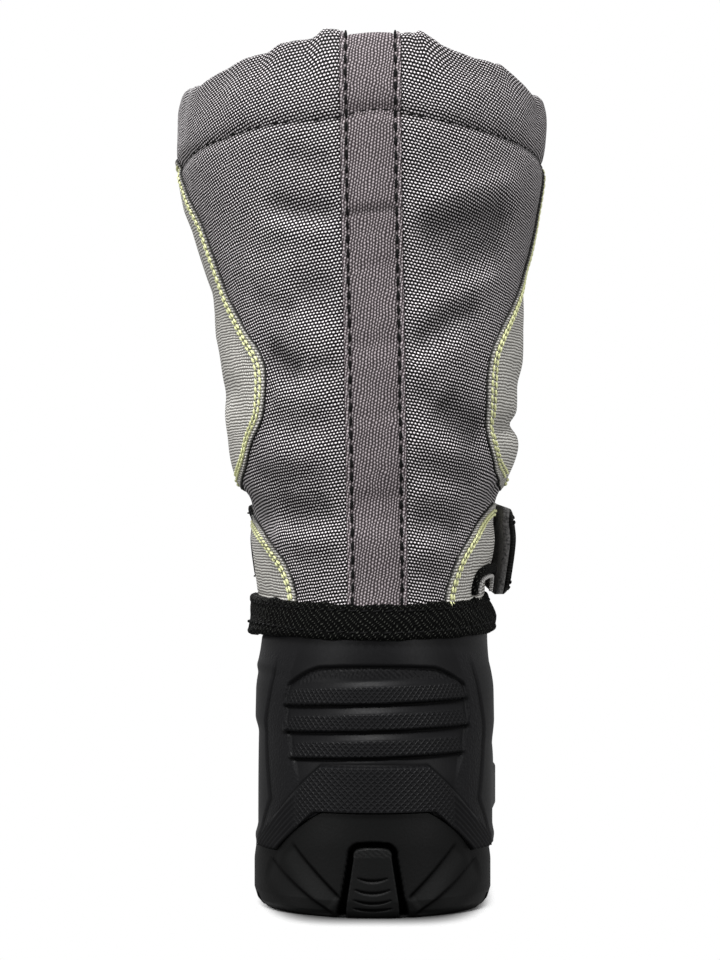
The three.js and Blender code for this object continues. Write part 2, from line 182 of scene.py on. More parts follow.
def form(turn, z):
    """A point of the outer surface, from a turn in degrees and a height."""
    turn, z = np.broadcast_arrays(np.radians(np.asarray(turn, float)), np.asarray(z, float))
    back, front = curve(LEG, "z", "back", z), front_at(z)
    s = mix(back, front, (1 - np.cos(turn)) / 2)
    lean = curve(LEG, "z", "lean", z)
    inner = np.sin(turn) >= 0
    reach = np.where(inner, curve(LEG, "z", "inner", z) - lean, curve(LEG, "z", "outer", z) + lean)
    width = curve(PLAN, "s", "half", s) * rounding(s - back, HEEL_ROUND, 2)
    low = width * rounding(LENGTH - s * LENGTH / front, TOE_ROUND, 2.3)
    rise = np.clip((z - TOE_TIP_Z) / (instep_top(s) - TOE_TIP_Z + 1e-9), 0, 1)
    high = width * rounding(LENGTH - s, TOE_ROUND, 2.3) * np.sqrt(1 - rise**2.4)
    share = smooth(FOOT_TO, LEG_FROM, z)
    half = mix(np.where(z <= TOE_TIP_Z, low, high), reach * np.abs(np.sin(turn)), share)
    centre = mix(curve(PLAN, "s", "centre", s), lean, share)
    return np.stack([centre + np.where(inner, half, -half), HEEL_BACK_Y - s, z], -1)


def unit(vectors):
    return vectors / np.maximum(np.linalg.norm(vectors, axis=-1, keepdims=True), 1e-9)


def normal(turn, z):
    """Outward directions of the surface, level at the sole so that its wall stays upright."""
    turn, z = np.broadcast_arrays(np.asarray(turn, float), np.asarray(z, float))
    side, rise = 1.72, 0.8  # degrees and millimetres to the points that are compared
    around = form(turn + side, z) - form(turn - side, z)
    slope = unit(form(turn, z + rise) - form(turn, z - rise))
    share = smooth(TOE_TIP_Z, TOE_TIP_Z + 8, z)[..., None]
    return unit(np.cross(mix(np.array([0.0, 0, 1]), slope, share), around))


def toe_spring(s):
    """How far the tread has left the floor towards the toe."""
    return TOE_SPRING * np.clip((s - TREAD_FROM) / (LENGTH - TREAD_FROM), 0, 1) ** 1.7


def height_at(level, turn):
    """A height named by its level at the back, carried round the boot."""
    level, turn = np.broadcast_arrays(np.asarray(level, float), np.asarray(turn, float))
    s = front_at(level) * (1 - np.cos(np.radians(turn))) / 2
    tape = curve(TAPE, "s", "z", s)
    lines = [
        (0, toe_spring(s)), (BED_LEVEL, curve(BED, "s", "z", s)),
        (PART_LEVEL, np.interp(s, PARTING["s"], PARTING["z"])),
        (TAPE_LEVEL, tape), (TAPE_LEVEL + TAPE_WIDTH, tape + TAPE_WIDTH),
        (170, 170 + 0 * s), (COLLAR_LEVEL, curve(COLLAR, "s", "z", s)),
    ]
    height = lines[0][1]
    for (a, low), (b, high) in zip(lines, lines[1:]):
        height = np.where(level > a, mix(low, high, (level - a) / (b - a)), height)
    return height


def stand(turn, z, out):
    """Points that stand off the plain surface by so many millimetres."""
    return form(turn, z) + normal(turn, z) * np.asarray(out)[..., None]


# ---------------------------------------------------------------- folds of the fabric


def near_path(turn, z, path):
    """Distance in millimetres to a path of (turn, height) points, and how far along it, from 0 to 1."""
    round_scale = 0.8  # millimetres to a degree, taken the same everywhere
    across = np.asarray(turn, float) * round_scale
    spots = np.array(path, float) * (round_scale, 1)
    starts = measured(spots)
    best, along = np.full(np.shape(across), 1e9), np.zeros(np.shape(across))
    for a, b, start in zip(spots, spots[1:], starts):
        length = np.linalg.norm(b - a)
        d = (b - a) / length
        t = np.clip((across - a[0]) * d[0] + (z - a[1]) * d[1], 0, length)
        gap = np.hypot(across - a[0] - t * d[0], z - a[1] - t * d[1])
        along = np.where(gap < best, (start + t) / starts[-1], along)
        best = np.minimum(gap, best)
    return best, along


# Each fold: half width, depth (troughs are negative), and its path as (turn, height). A turn past 180
# is written as a negative one on the outer side.
FOLDS = [
    # horizontal slack on the inner side of the back strip
    (3.4, -1.4, (10, 198), (22, 199), (34, 202)),
    (4.2, 1.1, (11, 193), (22, 193), (36, 196)),
    (3.2, -0.7, (10, 213), (16, 213), (26, 215)),
    (4, -0.8, (12, 177), (19, 178), (28, 176)),
    (3.4, 0.5, (24, 185), (36, 183), (48, 186)),
    (5, 1, (12, 162), (22, 164), (32, 168)),
    (3.2, -0.7, (26, 171), (35, 173), (46, 176)),
    (3.8, -1.7, (42, 161), (35, 157), (27, 153)),
    (3, -0.9, (12, 155), (20, 155), (25, 153)),
    (4, 0.8, (42, 149), (29, 147), (16, 148)),
    (4, -0.7, (44, 141), (30, 139), (16, 141)),
    (4.4, 0.6, (48, 133), (31, 131), (16, 133)),
    (3.6, -0.8, (59, 125), (36, 124), (18, 125)),
    (5, -1.2, (49, 116), (36, 114), (18, 115)),
    (3.6, 0.7, (56, 109), (36, 107), (18, 108)),
    (3.4, -0.7, (42, 101), (28, 100), (17, 101)),
    # broad hollow on the outer side of the strip, and the slack beside it
    (4.2, 0.8, (-57, 210), (-34, 206), (-15, 200)),
    (6, -2, (-57, 203), (-35, 197), (-21, 193), (-14, 190)),
    (5, -1, (-54, 192), (-40, 188), (-28, 185)),
    (4, 0.8, (-53, 183), (-36, 178), (-21, 173), (-13, 169)),
    (3.4, -1.4, (-44, 174), (-30, 170), (-20, 164), (-14, 159)),
    (4.4, 1, (-38, 162), (-25, 157), (-14, 153)),
    (5.5, -1.9, (-25, 146), (-35, 141), (-50, 136)),
    (3, -0.7, (-14, 148), (-21, 146), (-28, 142)),
    (3.6, 0.7, (-14, 137), (-23, 134), (-37, 130)),
    (3.4, -0.8, (-14, 128), (-28, 126), (-50, 123)),
    (4.4, 0.6, (-15, 120), (-30, 119), (-46, 118)),
    (5, -1.2, (-16, 112), (-30, 112), (-45, 110)),
    (3.4, 0.6, (-16, 104), (-26, 104), (-38, 103)),
    (3, -0.6, (-16, 97), (-26, 97), (-35, 95)),
    # ankle crease that runs round under the bulge
    (3.4, -1.3, (54, 116), (74, 119), (96, 118), (124, 117), (150, 119), (176, 119)),
    (3.4, -1.3, (-54, 118), (-74, 121), (-96, 119), (-124, 118), (-150, 119), (-176, 119)),
    # sags of the two side panels
    (6, 0.8, (58, 142), (84, 139), (116, 142)),
    (4, -0.6, (56, 151), (84, 150), (112, 153)),
    (2.6, -2.3, (-52, 139), (-72, 141), (-92, 141), (-112, 140)),
    (4.5, 0.7, (-60, 134), (-92, 134), (-120, 134)),
    (4, -0.6, (-70, 155), (-92, 153), (-116, 156)),
    (5, -0.6, (70, 182), (92, 178), (116, 182)),
    (5, -0.6, (-74, 186), (-94, 180), (-118, 184)),
    (14, -1.0, (88, 206), (90, 188), (92, 168)),
    (5, -0.9, (76, 138), (92, 138), (112, 139)),
    (16, -0.8, (-90, 214), (-90, 190), (-88, 160)),
    (4, 1.1, (-78, 120), (-92, 120), (-108, 120)),
    (6, -1.3, (-64, 93), (-90, 93), (-112, 93)),
]
# slack across the instep, the same on both sides
for width, depth, *path in (
    (5, -1.5, (140, 132), (165, 129), (180, 129)),
    (5, 1.2, (140, 142), (165, 140), (180, 140)),
    (6, -1.1, (150, 168), (170, 164), (180, 163)),
):
    FOLDS += [(width, depth, *((side * turn, z) for turn, z in path)) for side in (1, -1)]
# Gathers of the collar: turn, and how deep the pleat is cut in the edge and the channel below it.
GATHERS = [
    (18, 0.9), (31, 0.7), (47, 0.9), (70, 0.8), (96, 1.2), (124, 1.3), (152, 1.2), (-20, 0.8), (-38, 0.6),
    (-52, 0.9), (-68, 0.9), (-90, 1.1), (-118, 1.3), (-146, 1.2), (-176, 1.2),
]
# How far the slack collar's edge hangs below the plain line.
COLLAR_DIP = table(
    "turn dip",
    (-180, 0.4), (-140, 0.2), (-105, 1.2), (-85, 2.1), (-67, 2.6), (-58, 1.5), (-55, 0.8), (-52, -0.7),
    (-49, -0.7), (-46.5, 0.4), (-41, 1.1), (-30, 1.8), (-24.5, 1.1), (-22, -0.9), (-20, -2.2),
    (-17.7, -2.7), (-15.5, -1.7), (-13.5, -1.5), (-11.5, -1), (-9, -0.2), (-6, 0.4), (0, 0.8), (6, 0.8),
    (8, 0.3), (9.6, -1.3), (11.3, -1.8), (13, -2.1), (15, -2.5), (17, -1.8), (19, -1), (23, -0.6),
    (27, -0.5), (29, -0.9), (31, -0.6),
    (33, 0.7), (37, 0.7), (42, 0.7), (47, 0.6), (52, 1.5), (58, 1.8), (62, 1.8), (66, 0.7), (74, -0.4),
    (80, 0.3), (90, 0.7), (100, 0.6), (140, 0.3), (180, 0.4),
)
# Height of the stitch line under the collar's channel.
CHANNEL = table(
    "turn z",
    (-180, 222), (-120, 221), (-90, 219.4), (-45, 222.5), (-9, 226.2), (0, 226.7), (7, 225.2), (14, 224.5),
    (28, 224.2), (35, 223.5), (50, 221.6), (90, 217.2), (120, 218.8), (180, 222),
)


def signed(turn):
    return (np.asarray(turn, float) + 180) % 360 - 180


def channel_height(turn):
    return curve(CHANNEL, "turn", "z", signed(turn))


def pleats(turn):
    """How deep the gathers are cut, each steep on one side and slack on the other."""
    total = 0
    for at, depth in GATHERS:
        gap = signed(np.asarray(turn, float) - at)
        total = total + depth * np.exp(-np.abs(gap / np.where(gap > 0, 5.5, 2.6)) ** 1.5)
    return total


def ripple(turn, z, seed=0.0):
    """Faint slackness that no listed fold covers."""
    a = np.radians(turn)
    return (
        np.sin(4 * a + z * 0.085 + seed) * np.sin(z * 0.13 + 2 * a + 1.3)
        + 0.6 * np.sin(9 * a - z * 0.19 + 2.1 + seed)
        + 0.4 * np.sin(15 * a + z * 0.31 + 0.7)
    )


def folds(turn, z, spread=1.0):
    """How far all the folds raise the fabric, each taken as so much wider than it is."""
    at, out = signed(turn), 0
    for width, depth, *path in FOLDS:
        gap, along = near_path(at, z, path)
        ends = np.clip(np.minimum(along, 1 - along) * 5 + 0.15, 0, 1)
        out = out + depth * ends * bell(gap, width * spread)
    return out


def slack(turn, z):
    """How far the fabric stands off the plain surface."""
    out = 0.16 * ripple(turn, z) * smooth(92, 104, z) + folds(turn, z)
    # the collar sinks in on the inner side
    out = out - 1.2 * bell(signed(turn) - 84, 22) * bell(z - 231, 8)
    line = channel_height(turn)
    out = out - 0.85 * bell(z - line, 1.5)
    out = out - pleats(turn) * 0.5 * smooth(line - 7, line + 9, z)
    hem = smooth(line, line + 6, z) * (1 - smooth(COLLAR_LEVEL - 9, COLLAR_LEVEL, z))
    return (out + 0.5 * hem) * smooth(84, 91, z)


def painted_fold_light(turn, z):
    """How light the fabric is painted: painted shade in the troughs and painted highlights on the crests."""
    return 1 + np.clip(0.3 * folds(turn, z, 1.15), -0.5, 0.14)


def cloth(turn, z, off=0.0):
    """A point on the slack fabric."""
    return stand(turn, z, slack(turn, z) + off)


# ---------------------------------------------------------------- meshes


def link(name, mesh):
    piece = bpy.data.objects.new(name, mesh)
    bpy.context.scene.collection.objects.link(piece)
    return piece


def inside_out(mesh, points):
    """Whether a closed mesh's faces look inwards."""
    mesh.calc_loop_triangles()
    a, b, c = points[np.array([t.vertices for t in mesh.loop_triangles]).T]
    return (a * np.cross(b, c)).sum() < 0


def covered(mesh, corners, marks, materials):
    """A piece from a mesh, with pattern coordinates at its corners and marks, named numbers, at its points."""
    mesh.uv_layers.new(name="cloth").data.foreach_set("uv", corners.ravel().astype(np.float32))
    for key, values in marks.items():
        layer = mesh.attributes.new(key, "FLOAT", "POINT")
        layer.data.foreach_set("value", values.ravel().astype(np.float32))
    mesh.polygons.foreach_set("use_smooth", [True] * len(mesh.polygons))
    for finish in materials:
        mesh.materials.append(finish)
    mesh.update()
    return link(mesh.name, mesh)


def grid(name, points, uv, *materials, tube=False, caps=False, marks=None, rows_of=None):
    """A mesh from rings of points in millimetres, one above the other.

    tube joins the last ring to the first, and caps closes the two end rings. uv has one column more than
    points. rows_of gives each row of faces the index of its material.
    """
    rows, columns = points.shape[:2]
    r, c = (a.ravel() for a in np.indices((rows if tube else rows - 1, columns)))
    below, above = r * columns, (r + 1) % rows * columns
    beside = (c + 1) % columns
    faces = np.stack([below + c, above + c, above + beside, below + beside], 1).tolist()
    up = (r + 1) % rows
    corners = np.stack([uv[r, c], uv[up, c], uv[up, c + 1], uv[r, c + 1]], 1).reshape(-1, 2)
    slots = (np.zeros(len(r), int) if rows_of is None else rows_of[r]).tolist()
    if caps:
        first = list(range(columns))
        faces += [first, [(rows - 1) * columns + i for i in reversed(first)]]
        slots += [0, 0]
        corners = np.concatenate([corners, np.tile(corners[0], (2 * columns, 1))])
    mesh = bpy.data.meshes.new(name)
    flat = points.reshape(-1, 3)
    mesh.from_pydata((flat * MM).tolist(), [], faces)
    turned = (tube or caps) and inside_out(mesh, flat)
    piece = covered(mesh, corners, marks or {}, materials)
    mesh.polygons.foreach_set("material_index", slots)
    if turned:
        mesh.flip_normals()
    mesh.update()
    return piece


def pattern(across, up):
    """Pattern coordinates in millimetres, from distances round and distances up."""
    return np.stack(np.broadcast_arrays(across, up[:, None]), -1)


def flow(points):
    """Pattern coordinates of a sheet, measured round from the column in its middle."""
    across = measured(points, 1)
    return pattern(across - across[:, [points.shape[1] // 2]], measured(points).mean(1))


def round_flow(points, turns):
    """The same on a band that goes all the way round: measured from the back and, in front, from the toe."""
    across = measured(np.concatenate([points, points[:, :1]], 1)[..., :2], 1)
    quarter = np.searchsorted(turns, (90, 180, 270))
    base = np.zeros(across.shape)
    base[:, quarter[0] + 1 :] = across[:, [quarter[1]]]
    base[:, quarter[2] + 1 :] = across[:, [-1]]
    return pattern(across - base, measured(points[:, 0]))


# ---------------------------------------------------------------- materials


def linear(code):
    """An sRGB hex value as the linear colour that shaders use."""
    parts = [int(code[i : i + 2], 16) / 255 for i in (0, 2, 4)]
    return [p / 12.92 if p <= 0.04045 else ((p + 0.055) / 1.055) ** 2.4 for p in parts] + [1.0]


def add(tree, kind, inputs=None, **settings):
    """Adds a node with its settings, and sets or links its inputs, given by name or by number."""
    node = tree.nodes.new(kind)
    for name, value in settings.items():
        setattr(node, name, value)
    for key, value in (inputs or {}).items():
        if isinstance(value, bpy.types.NodeSocket):
            tree.links.new(value, node.inputs[key])
        else:
            node.inputs[key].default_value = value
    return node


def material(name, **constants):
    """A material with its shader's constants set, and its tree and shader, to be given patterns."""
    made = bpy.data.materials.new(name)
    made.use_nodes = True
    shader = made.node_tree.nodes["Principled BSDF"]
    for key, value in constants.items():
        shader.inputs[key.replace("_", " ")].default_value = value
    return made, made.node_tree, shader


def ramp(tree, factor, *stops):
    """Colours at positions, as (position, hex value)."""
    made = add(tree, "ShaderNodeValToRGB", {"Fac": factor})
    while len(made.color_ramp.elements) < len(stops):
        made.color_ramp.elements.new(0.5)
    for element, (position, code) in zip(made.color_ramp.elements, stops):
        element.position = position
        element.color = linear(code)
    return made.outputs["Color"]


def maths(tree, operation, *values):
    return add(tree, "ShaderNodeMath", dict(enumerate(values)), operation=operation).outputs[0]


def vectors(tree, operation, *values):
    return add(tree, "ShaderNodeVectorMath", dict(enumerate(values)), operation=operation).outputs[0]


def times(tree, colour, factor):
    """A colour made lighter or darker by a factor."""
    return add(tree, "ShaderNodeVectorMath", {0: colour, 3: factor}, operation="SCALE").outputs[0]


def spot(tree):
    return add(tree, "ShaderNodeTexCoord").outputs["Object"]


def noise(tree, size, detail):
    """Soft noise whose patches have a size in millimetres."""
    made = add(tree, "ShaderNodeTexNoise", {"Vector": spot(tree), "Scale": 1000 / size, "Detail": detail})
    return made.outputs["Fac"]


def between(tree, value, *bounds, **settings):
    """A value carried from one range, the first two bounds, to another, the last two."""
    given = {"Value": value, **dict(enumerate(bounds, 1))}
    return add(tree, "ShaderNodeMapRange", given, **settings).outputs[0]


def weave(tree, pitch, wander, skew, turned):
    """Plain weave from the cloth coordinates: 1 on top of each yarn crossing and 0 between them.

    pitch is from one row of crossings to the next. wander is how far, in millimetres, the yarns stray,
    skew turns the rows for a diagonal look, and turned stands the rows upright.
    """
    where = add(tree, "ShaderNodeUVMap", uv_map="cloth").outputs["UV"]
    drift = add(tree, "ShaderNodeTexNoise", {"Vector": where, "Scale": 0.22, "Detail": 2.0}).outputs["Color"]
    drift = times(tree, vectors(tree, "SUBTRACT", drift, (0.5, 0.5, 0.5)), wander * 6)
    split = add(tree, "ShaderNodeSeparateXYZ", {0: vectors(tree, "ADD", where, drift)})
    along, across = split.outputs["X"], split.outputs["Y"]
    if turned:
        along, across = across, along
    if skew:
        across = maths(tree, "MULTIPLY_ADD", along, skew, across)
    spacing = 1.14 * pitch  # from one crossing to the next along a row
    a = maths(tree, "COSINE", maths(tree, "MULTIPLY", along, 2 * math.pi / spacing))
    b = maths(tree, "COSINE", maths(tree, "MULTIPLY", across, math.pi / pitch))
    # More of the row's own wave than of the wave along it draws each crossing out along the row.
    both = maths(tree, "MULTIPLY_ADD", a, 0.65, maths(tree, "MULTIPLY", b, 1.35))
    lowest, highest = -0.08, 2.0
    reach = highest - lowest
    return maths(tree, "MULTIPLY_ADD", maths(tree, "MULTIPLY", b, both), 1 / reach, -lowest / reach)


def blotch(tree, size, amount, detail=2.0):
    """A multiplier that varies softly around 1 over patches of a size in millimetres."""
    return maths(tree, "MULTIPLY_ADD", noise(tree, size, detail), 2 * amount, 1 - amount)


def bump(tree, shader, height, depth):
    """Bump whose full height is a depth in millimetres."""
    made = add(tree, "ShaderNodeBump", {"Height": height, "Distance": depth * MM, "Strength": 1.0})
    tree.links.new(made.outputs["Normal"], shader.inputs["Normal"])


def mark(tree, name):
    return add(tree, "ShaderNodeAttribute", attribute_name=name).outputs["Fac"]


def woven(
    name, pitch, stops, depth, wander=0.07, skew=0.0, edge=None, takes_painted_shade=False, turned=False, **constants,
):
    """Woven cloth: yarn crossings stand up, with painted highlights on them and painted shade in the gaps
    between them.

    stops are the colours from the gaps up to the crossings' tops, and depth is the weave's in millimetres.
    edge gives two distances in from the piece's edge, and how light the cloth is at the first of them, a
    painted shadow.
    Cloth that takes painted shade gets the painted shade and highlights of its folds and creases from a mark
    on the mesh.
    """
    made, tree, shader = material(name, **constants)
    height = weave(tree, pitch, wander, skew, turned)
    # painted highlights on the crossings and painted shade in the gaps, from the weave's height
    colour = times(tree, ramp(tree, height, *stops), blotch(tree, 14, 0.09))
    colour = times(tree, colour, blotch(tree, 1.7, 0.16, 1.0))
    # painted shade and highlights of the folds and creases, from a mark on the mesh
    if takes_painted_shade:
        colour = times(tree, colour, mark(tree, "shade"))
    if edge:
        # The fold along the edge of a piece lies in its own shadow.
        colour = times(tree, colour, between(tree, mark(tree, "edge"), *edge))
    tree.links.new(colour, shader.inputs["Base Color"])
    bump(tree, shader, height, depth)
    return made


OXFORD_PITCH = 0.92
# Coated nylon oxford, plain woven in heavy two-ply yarn: painted highlights on the crossings over gaps painted
# black as shade.
nylon_dark = woven(
    "nylon_oxford_dark_woven", OXFORD_PITCH,
    ((0.0, "020202"), (0.33, "0c0b0c"), (0.46, "4a4648"), (0.65, "b5afb1"), (0.87, "f4eff1")), 0.2,
    wander=0.14, takes_painted_shade=True, Roughness=0.66, Specular_IOR_Level=0.12,
)
# The same cloth dyed light grey, with painted highlights on its crossings and only a little painted shade in
# its gaps.
nylon_light = woven(
    "nylon_oxford_light_woven", OXFORD_PITCH,
    ((0.0, "4c4a47"), (0.25, "86837c"), (0.5, "c1bfba"), (0.8, "f4f2ec")), 0.16, wander=0.2,
    edge=(0.12, 0.75, 0.04), takes_painted_shade=True, Roughness=0.66, Specular_IOR_Level=0.2,
)
# Polyamide webbing of the back strip: fine flat yarns whose ribs stand upright, with painted highlights on
# their tops and painted shade between them.
webbing_strip = woven(
    "polyamide_webbing_woven", 0.84,
    ((0.0, "282425"), (0.33, "494245"), (0.55, "746d6f"), (0.88, "afa6a9")), 0.12, wander=0.25, skew=0.14,
    turned=True, edge=(0.05, 0.6, 0.12), takes_painted_shade=True, Roughness=0.78, Specular_IOR_Level=0.15,
)
# Polyester twill tape: matt black with a faint diagonal rib at 1.1 mm, and painted highlights on a few of the
# ribs' highest tops.
twill_tape = woven(
    "polyester_twill_tape_woven", 1.1,
    ((0.0, "010101"), (0.45, "030303"), (0.75, "0a0b09"), (0.97, "3c3d39")), 0.25, wander=0.4, skew=0.8,
    Roughness=0.85, Specular_IOR_Level=0.06,
)
# Black hook-and-loop strap: a close, slightly glossy coated weave outside.
strap_weave = woven(
    "coated_polyamide_strap_woven", 0.8,
    ((0.0, "030303"), (0.45, "0c0c0c"), (0.75, "1d1d1d"), (1.0, "343434")), 0.08, Roughness=0.5,
    Specular_IOR_Level=0.15,
)
# Light polyester ribbon that lines the keeper.
keeper_weave = woven(
    "polyester_ribbon_light_woven", 0.8, ((0.0, "6a6866"), (0.4, "b0aeab"), (0.8, "ecebe8")), 0.12,
    Roughness=0.75,
)


def pile(name, low, high, size, depth, **constants):
    """Brushed pile: short fibres that clump, with shaded roots."""
    made, tree, shader = material(name, **constants)
    tufts = noise(tree, size, 4.0)
    colour = times(tree, ramp(tree, tufts, (0.32, low), (0.68, high)), blotch(tree, 12, 0.08))
    tree.links.new(colour, shader.inputs["Base Color"])
    bump(tree, shader, tufts, depth)
    return made


# Polyester fleece lining, brushed: soft clumps 1.5 mm across.
fleece = pile("polyester_fleece_brushed", "262628", "55555a", 1.5, 0.8, Roughness=0.95, Sheen_Weight=0.35)
# Needled polyester felt of the insole: denser and flatter than the lining.
felt = pile("polyester_felt_needled", "2c2c2f", "4a4a4e", 0.9, 0.3, Roughness=0.96, Sheen_Weight=0.2)
# The loop side of the strap: a dark fuzz with light fibre ends.
loops = pile("polyamide_loop_pile_napped", "1a1a1a", "6e6c6b", 0.7, 0.6, Roughness=0.92, Sheen_Weight=0.4)


def thread(name, dark, light, **constants):
    """Twisted sewing thread: each ply shows as a light stripe across the stitch."""
    made, tree, shader = material(name, **constants)
    plies = add(tree, "ShaderNodeTexWave", {"Vector": spot(tree), "Scale": 900.0, "Distortion": 1.5})
    colour = times(tree, ramp(tree, plies.outputs["Fac"], (0.1, dark), (0.8, light)), blotch(tree, 4, 0.12))
    tree.links.new(colour, shader.inputs["Base Color"])
    return made


# Bonded polyester thread, three plies: pale lime on the panels, black on strip and tape, grey on the strip.
lime_thread = thread("polyester_thread_lime_twisted", "a9ad6c", "f1f3c2", Roughness=0.5)
black_thread = thread(
    "polyester_thread_black_twisted", "020202", "0c0c0d", Roughness=0.7, Specular_IOR_Level=0.12,
)
grey_thread = thread("polyester_thread_grey_twisted", "5d595b", "8e898b", Roughness=0.6)


def rubber(name, base, light, roughness, gloss):
    """Moulded thermoplastic rubber. Marks on the mesh say where the mould is hatched, grained or ribbed, and
    how light it is
    painted: painted shade in its creases and painted highlights on some faces.
    """
    made, tree, shader = material(name, Roughness=roughness, Specular_IOR_Level=gloss)
    place = add(tree, "ShaderNodeUVMap", uv_map="cloth").outputs["UV"]
    split = add(tree, "ShaderNodeSeparateXYZ", {0: place})
    pitch = 1.25  # millimetres between the mould's crossing lines
    lines = []
    for slope in (1.0, -1.0):
        across = maths(tree, "MULTIPLY_ADD", split.outputs["Y"], slope, split.outputs["X"])
        wave = maths(tree, "COSINE", maths(tree, "MULTIPLY", across, math.sqrt(2) * math.pi / pitch))
        lines.append(maths(tree, "POWER", maths(tree, "MULTIPLY_ADD", wave, 0.5, 0.5), 3.0))
    hatch = maths(tree, "MULTIPLY", maths(tree, "MAXIMUM", *lines), mark(tree, "hatch"))
    pebble, speck = 0.75, 0.8  # millimetres across
    pebbles = add(
        tree, "ShaderNodeTexVoronoi", {"Vector": spot(tree), "Scale": 1000 / pebble}, feature="SMOOTH_F1",
    )
    grain = maths(tree, "MULTIPLY", pebbles.outputs["Distance"], mark(tree, "grain"))
    fine = noise(tree, speck, 3.0)
    height = maths(tree, "ADD", maths(tree, "MULTIPLY", hatch, 0.6), maths(tree, "MULTIPLY", grain, 0.5))
    height = maths(tree, "MULTIPLY_ADD", fine, 0.14, height)
    # the raised tops of the hatching and grain are painted lighter than the hollows, as painted highlight and
    # shade
    shade = ramp(tree, maths(tree, "MULTIPLY_ADD", height, 0.45, 0.25), (0.0, base), (1.0, light))
    # the mark's painted shade and highlights scale the colour, and the gleam too, so the creases lose theirs
    for socket, value in (
        ("Base Color", times(tree, times(tree, shade, blotch(tree, 22, 0.12)), mark(tree, "light"))),
        ("Specular IOR Level", maths(tree, "MULTIPLY", mark(tree, "light"), gloss)),
        ("Roughness", maths(tree, "MULTIPLY_ADD", fine, 0.16, roughness - 0.08)),
    ):
        tree.links.new(value, shader.inputs[socket])
    bump(tree, shader, height, 0.35)
    return made


# Moulded thermoplastic rubber: matt near-black with a dull gleam, hatched and pebbled by the mould.
shell_rubber = rubber("thermoplastic_rubber_moulded", "060607", "19191b", roughness=0.49, gloss=0.13)
sole_rubber = rubber("thermoplastic_rubber_outsole_moulded", "060606", "111212", roughness=0.52, gloss=0.1)

# ---------------------------------------------------------------- stitches


def stitch_tree():
    """A run of stitches along a path: one rounded length of thread to each pitch, slanted across the seam."""
    tree = bpy.data.node_groups.new("stitch_run", "GeometryNodeTree")

    def socket(name, kind, way="INPUT"):
        return tree.interface.new_socket(name, in_out=way, socket_type="NodeSocket" + kind)

    socket("Geometry", "Geometry")
    for name, value in (("Pitch", 0.002), ("Length", 0.0015), ("Thickness", 0.0005), ("Slant", 0.0)):
        socket(name, "Float").default_value = value
    socket("Thread", "Material")
    socket("Geometry", "Geometry", "OUTPUT")
    given = add(tree, "NodeGroupInput").outputs

    def node(kind, inputs=None, **settings):
        return add(tree, kind, inputs, **settings).outputs

    line = node("GeometryNodeMeshToCurve", {0: given["Geometry"]})[0]
    even = node("GeometryNodeResampleCurve", {"Curve": line, "Length": given["Pitch"]}, mode="LENGTH")[0]
    out = node("GeometryNodeInputNamedAttribute", {"Name": "out"}, data_type="FLOAT_VECTOR")[0]
    along = node("GeometryNodeInputTangent")[0]
    facing = node("FunctionNodeAlignRotationToVector", {"Vector": along}, axis="Z")[0]
    facing = node(
        "FunctionNodeAlignRotationToVector", {"Rotation": facing, "Vector": out}, axis="X", pivot_axis="Z",
    )[0]
    loose = node("FunctionNodeRandomValue", {2: -0.07, 3: 0.07, "Seed": SEED}, data_type="FLOAT")[1]
    angle = maths(tree, "ADD", given["Slant"], loose)
    lean = node("FunctionNodeAxisAngleToRotation", {"Axis": (1, 0, 0), "Angle": angle})[0]
    turned = {"Rotation": facing, "Rotate By": lean}
    facing = node("FunctionNodeRotateRotation", turned, rotation_space="LOCAL")[0]
    ball = node("GeometryNodeMeshUVSphere", {"Segments": 6, "Rings": 5, "Radius": 0.5})[0]
    size = node("ShaderNodeCombineXYZ", {0: given["Thickness"], 1: given["Thickness"], 2: given["Length"]})[0]
    placed = node(
        "GeometryNodeInstanceOnPoints", {"Points": even, "Instance": ball, "Rotation": facing, "Scale": size},
    )[0]
    real = node("GeometryNodeRealizeInstances", {0: placed})[0]
    soft = node("GeometryNodeSetShadeSmooth", {"Geometry": real})[0]
    done = node("GeometryNodeSetMaterial", {"Geometry": soft, "Material": given["Thread"]})[0]
    node("NodeGroupOutput", {0: done})
    return tree


STITCH_TREE = stitch_tree()


def bake(piece, name):
    """The piece's evaluated shape as a plain mesh object in its place."""
    evaluated = piece.evaluated_get(bpy.context.evaluated_depsgraph_get())
    mesh = bpy.data.meshes.new_from_object(evaluated)
    mesh.name = name
    old = piece.data
    bpy.data.objects.remove(piece)
    if old.users == 0:
        bpy.data.meshes.remove(old)
    return link(name, mesh)


def stitches(name, runs, thread_material, pitch, length, thickness, slant=0.0):
    """Stitches along runs of (points, outward directions), in millimetres and degrees."""
    points, outs, edges = [], [], []
    for spots, away in runs:
        start = len(points)
        points += (np.asarray(spots) * MM).tolist()
        outs += np.asarray(away).tolist()
        edges += [(i, i + 1) for i in range(start, start + len(spots) - 1)]
    mesh = bpy.data.meshes.new(name + "_path")
    mesh.from_pydata(points, edges, [])
    layer = mesh.attributes.new("out", "FLOAT_VECTOR", "POINT")
    layer.data.foreach_set("vector", np.array(outs, np.float32).ravel())
    piece = link(name + "_path", mesh)
    modifier = piece.modifiers.new("stitch_run", "NODES")
    modifier.node_group = STITCH_TREE
    sizes = {
        "Pitch": pitch * MM, "Length": length * MM, "Thickness": thickness * MM,
        "Slant": math.radians(slant), "Thread": thread_material,
    }
    for item in STITCH_TREE.interface.items_tree:
        if item.in_out == "INPUT" and item.name in sizes:
            modifier[item.identifier] = sizes[item.name]
    return bake(piece, name)


def dress(piece, slot, *nodes):
    """Ties a finished piece to the boot and hides the parts of the model that it stands in for. slot, the
    record's finish, is not used.
    """
    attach(piece, "root")
    if nodes:
        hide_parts(*nodes)
    return piece


# ---------------------------------------------------------------- upper


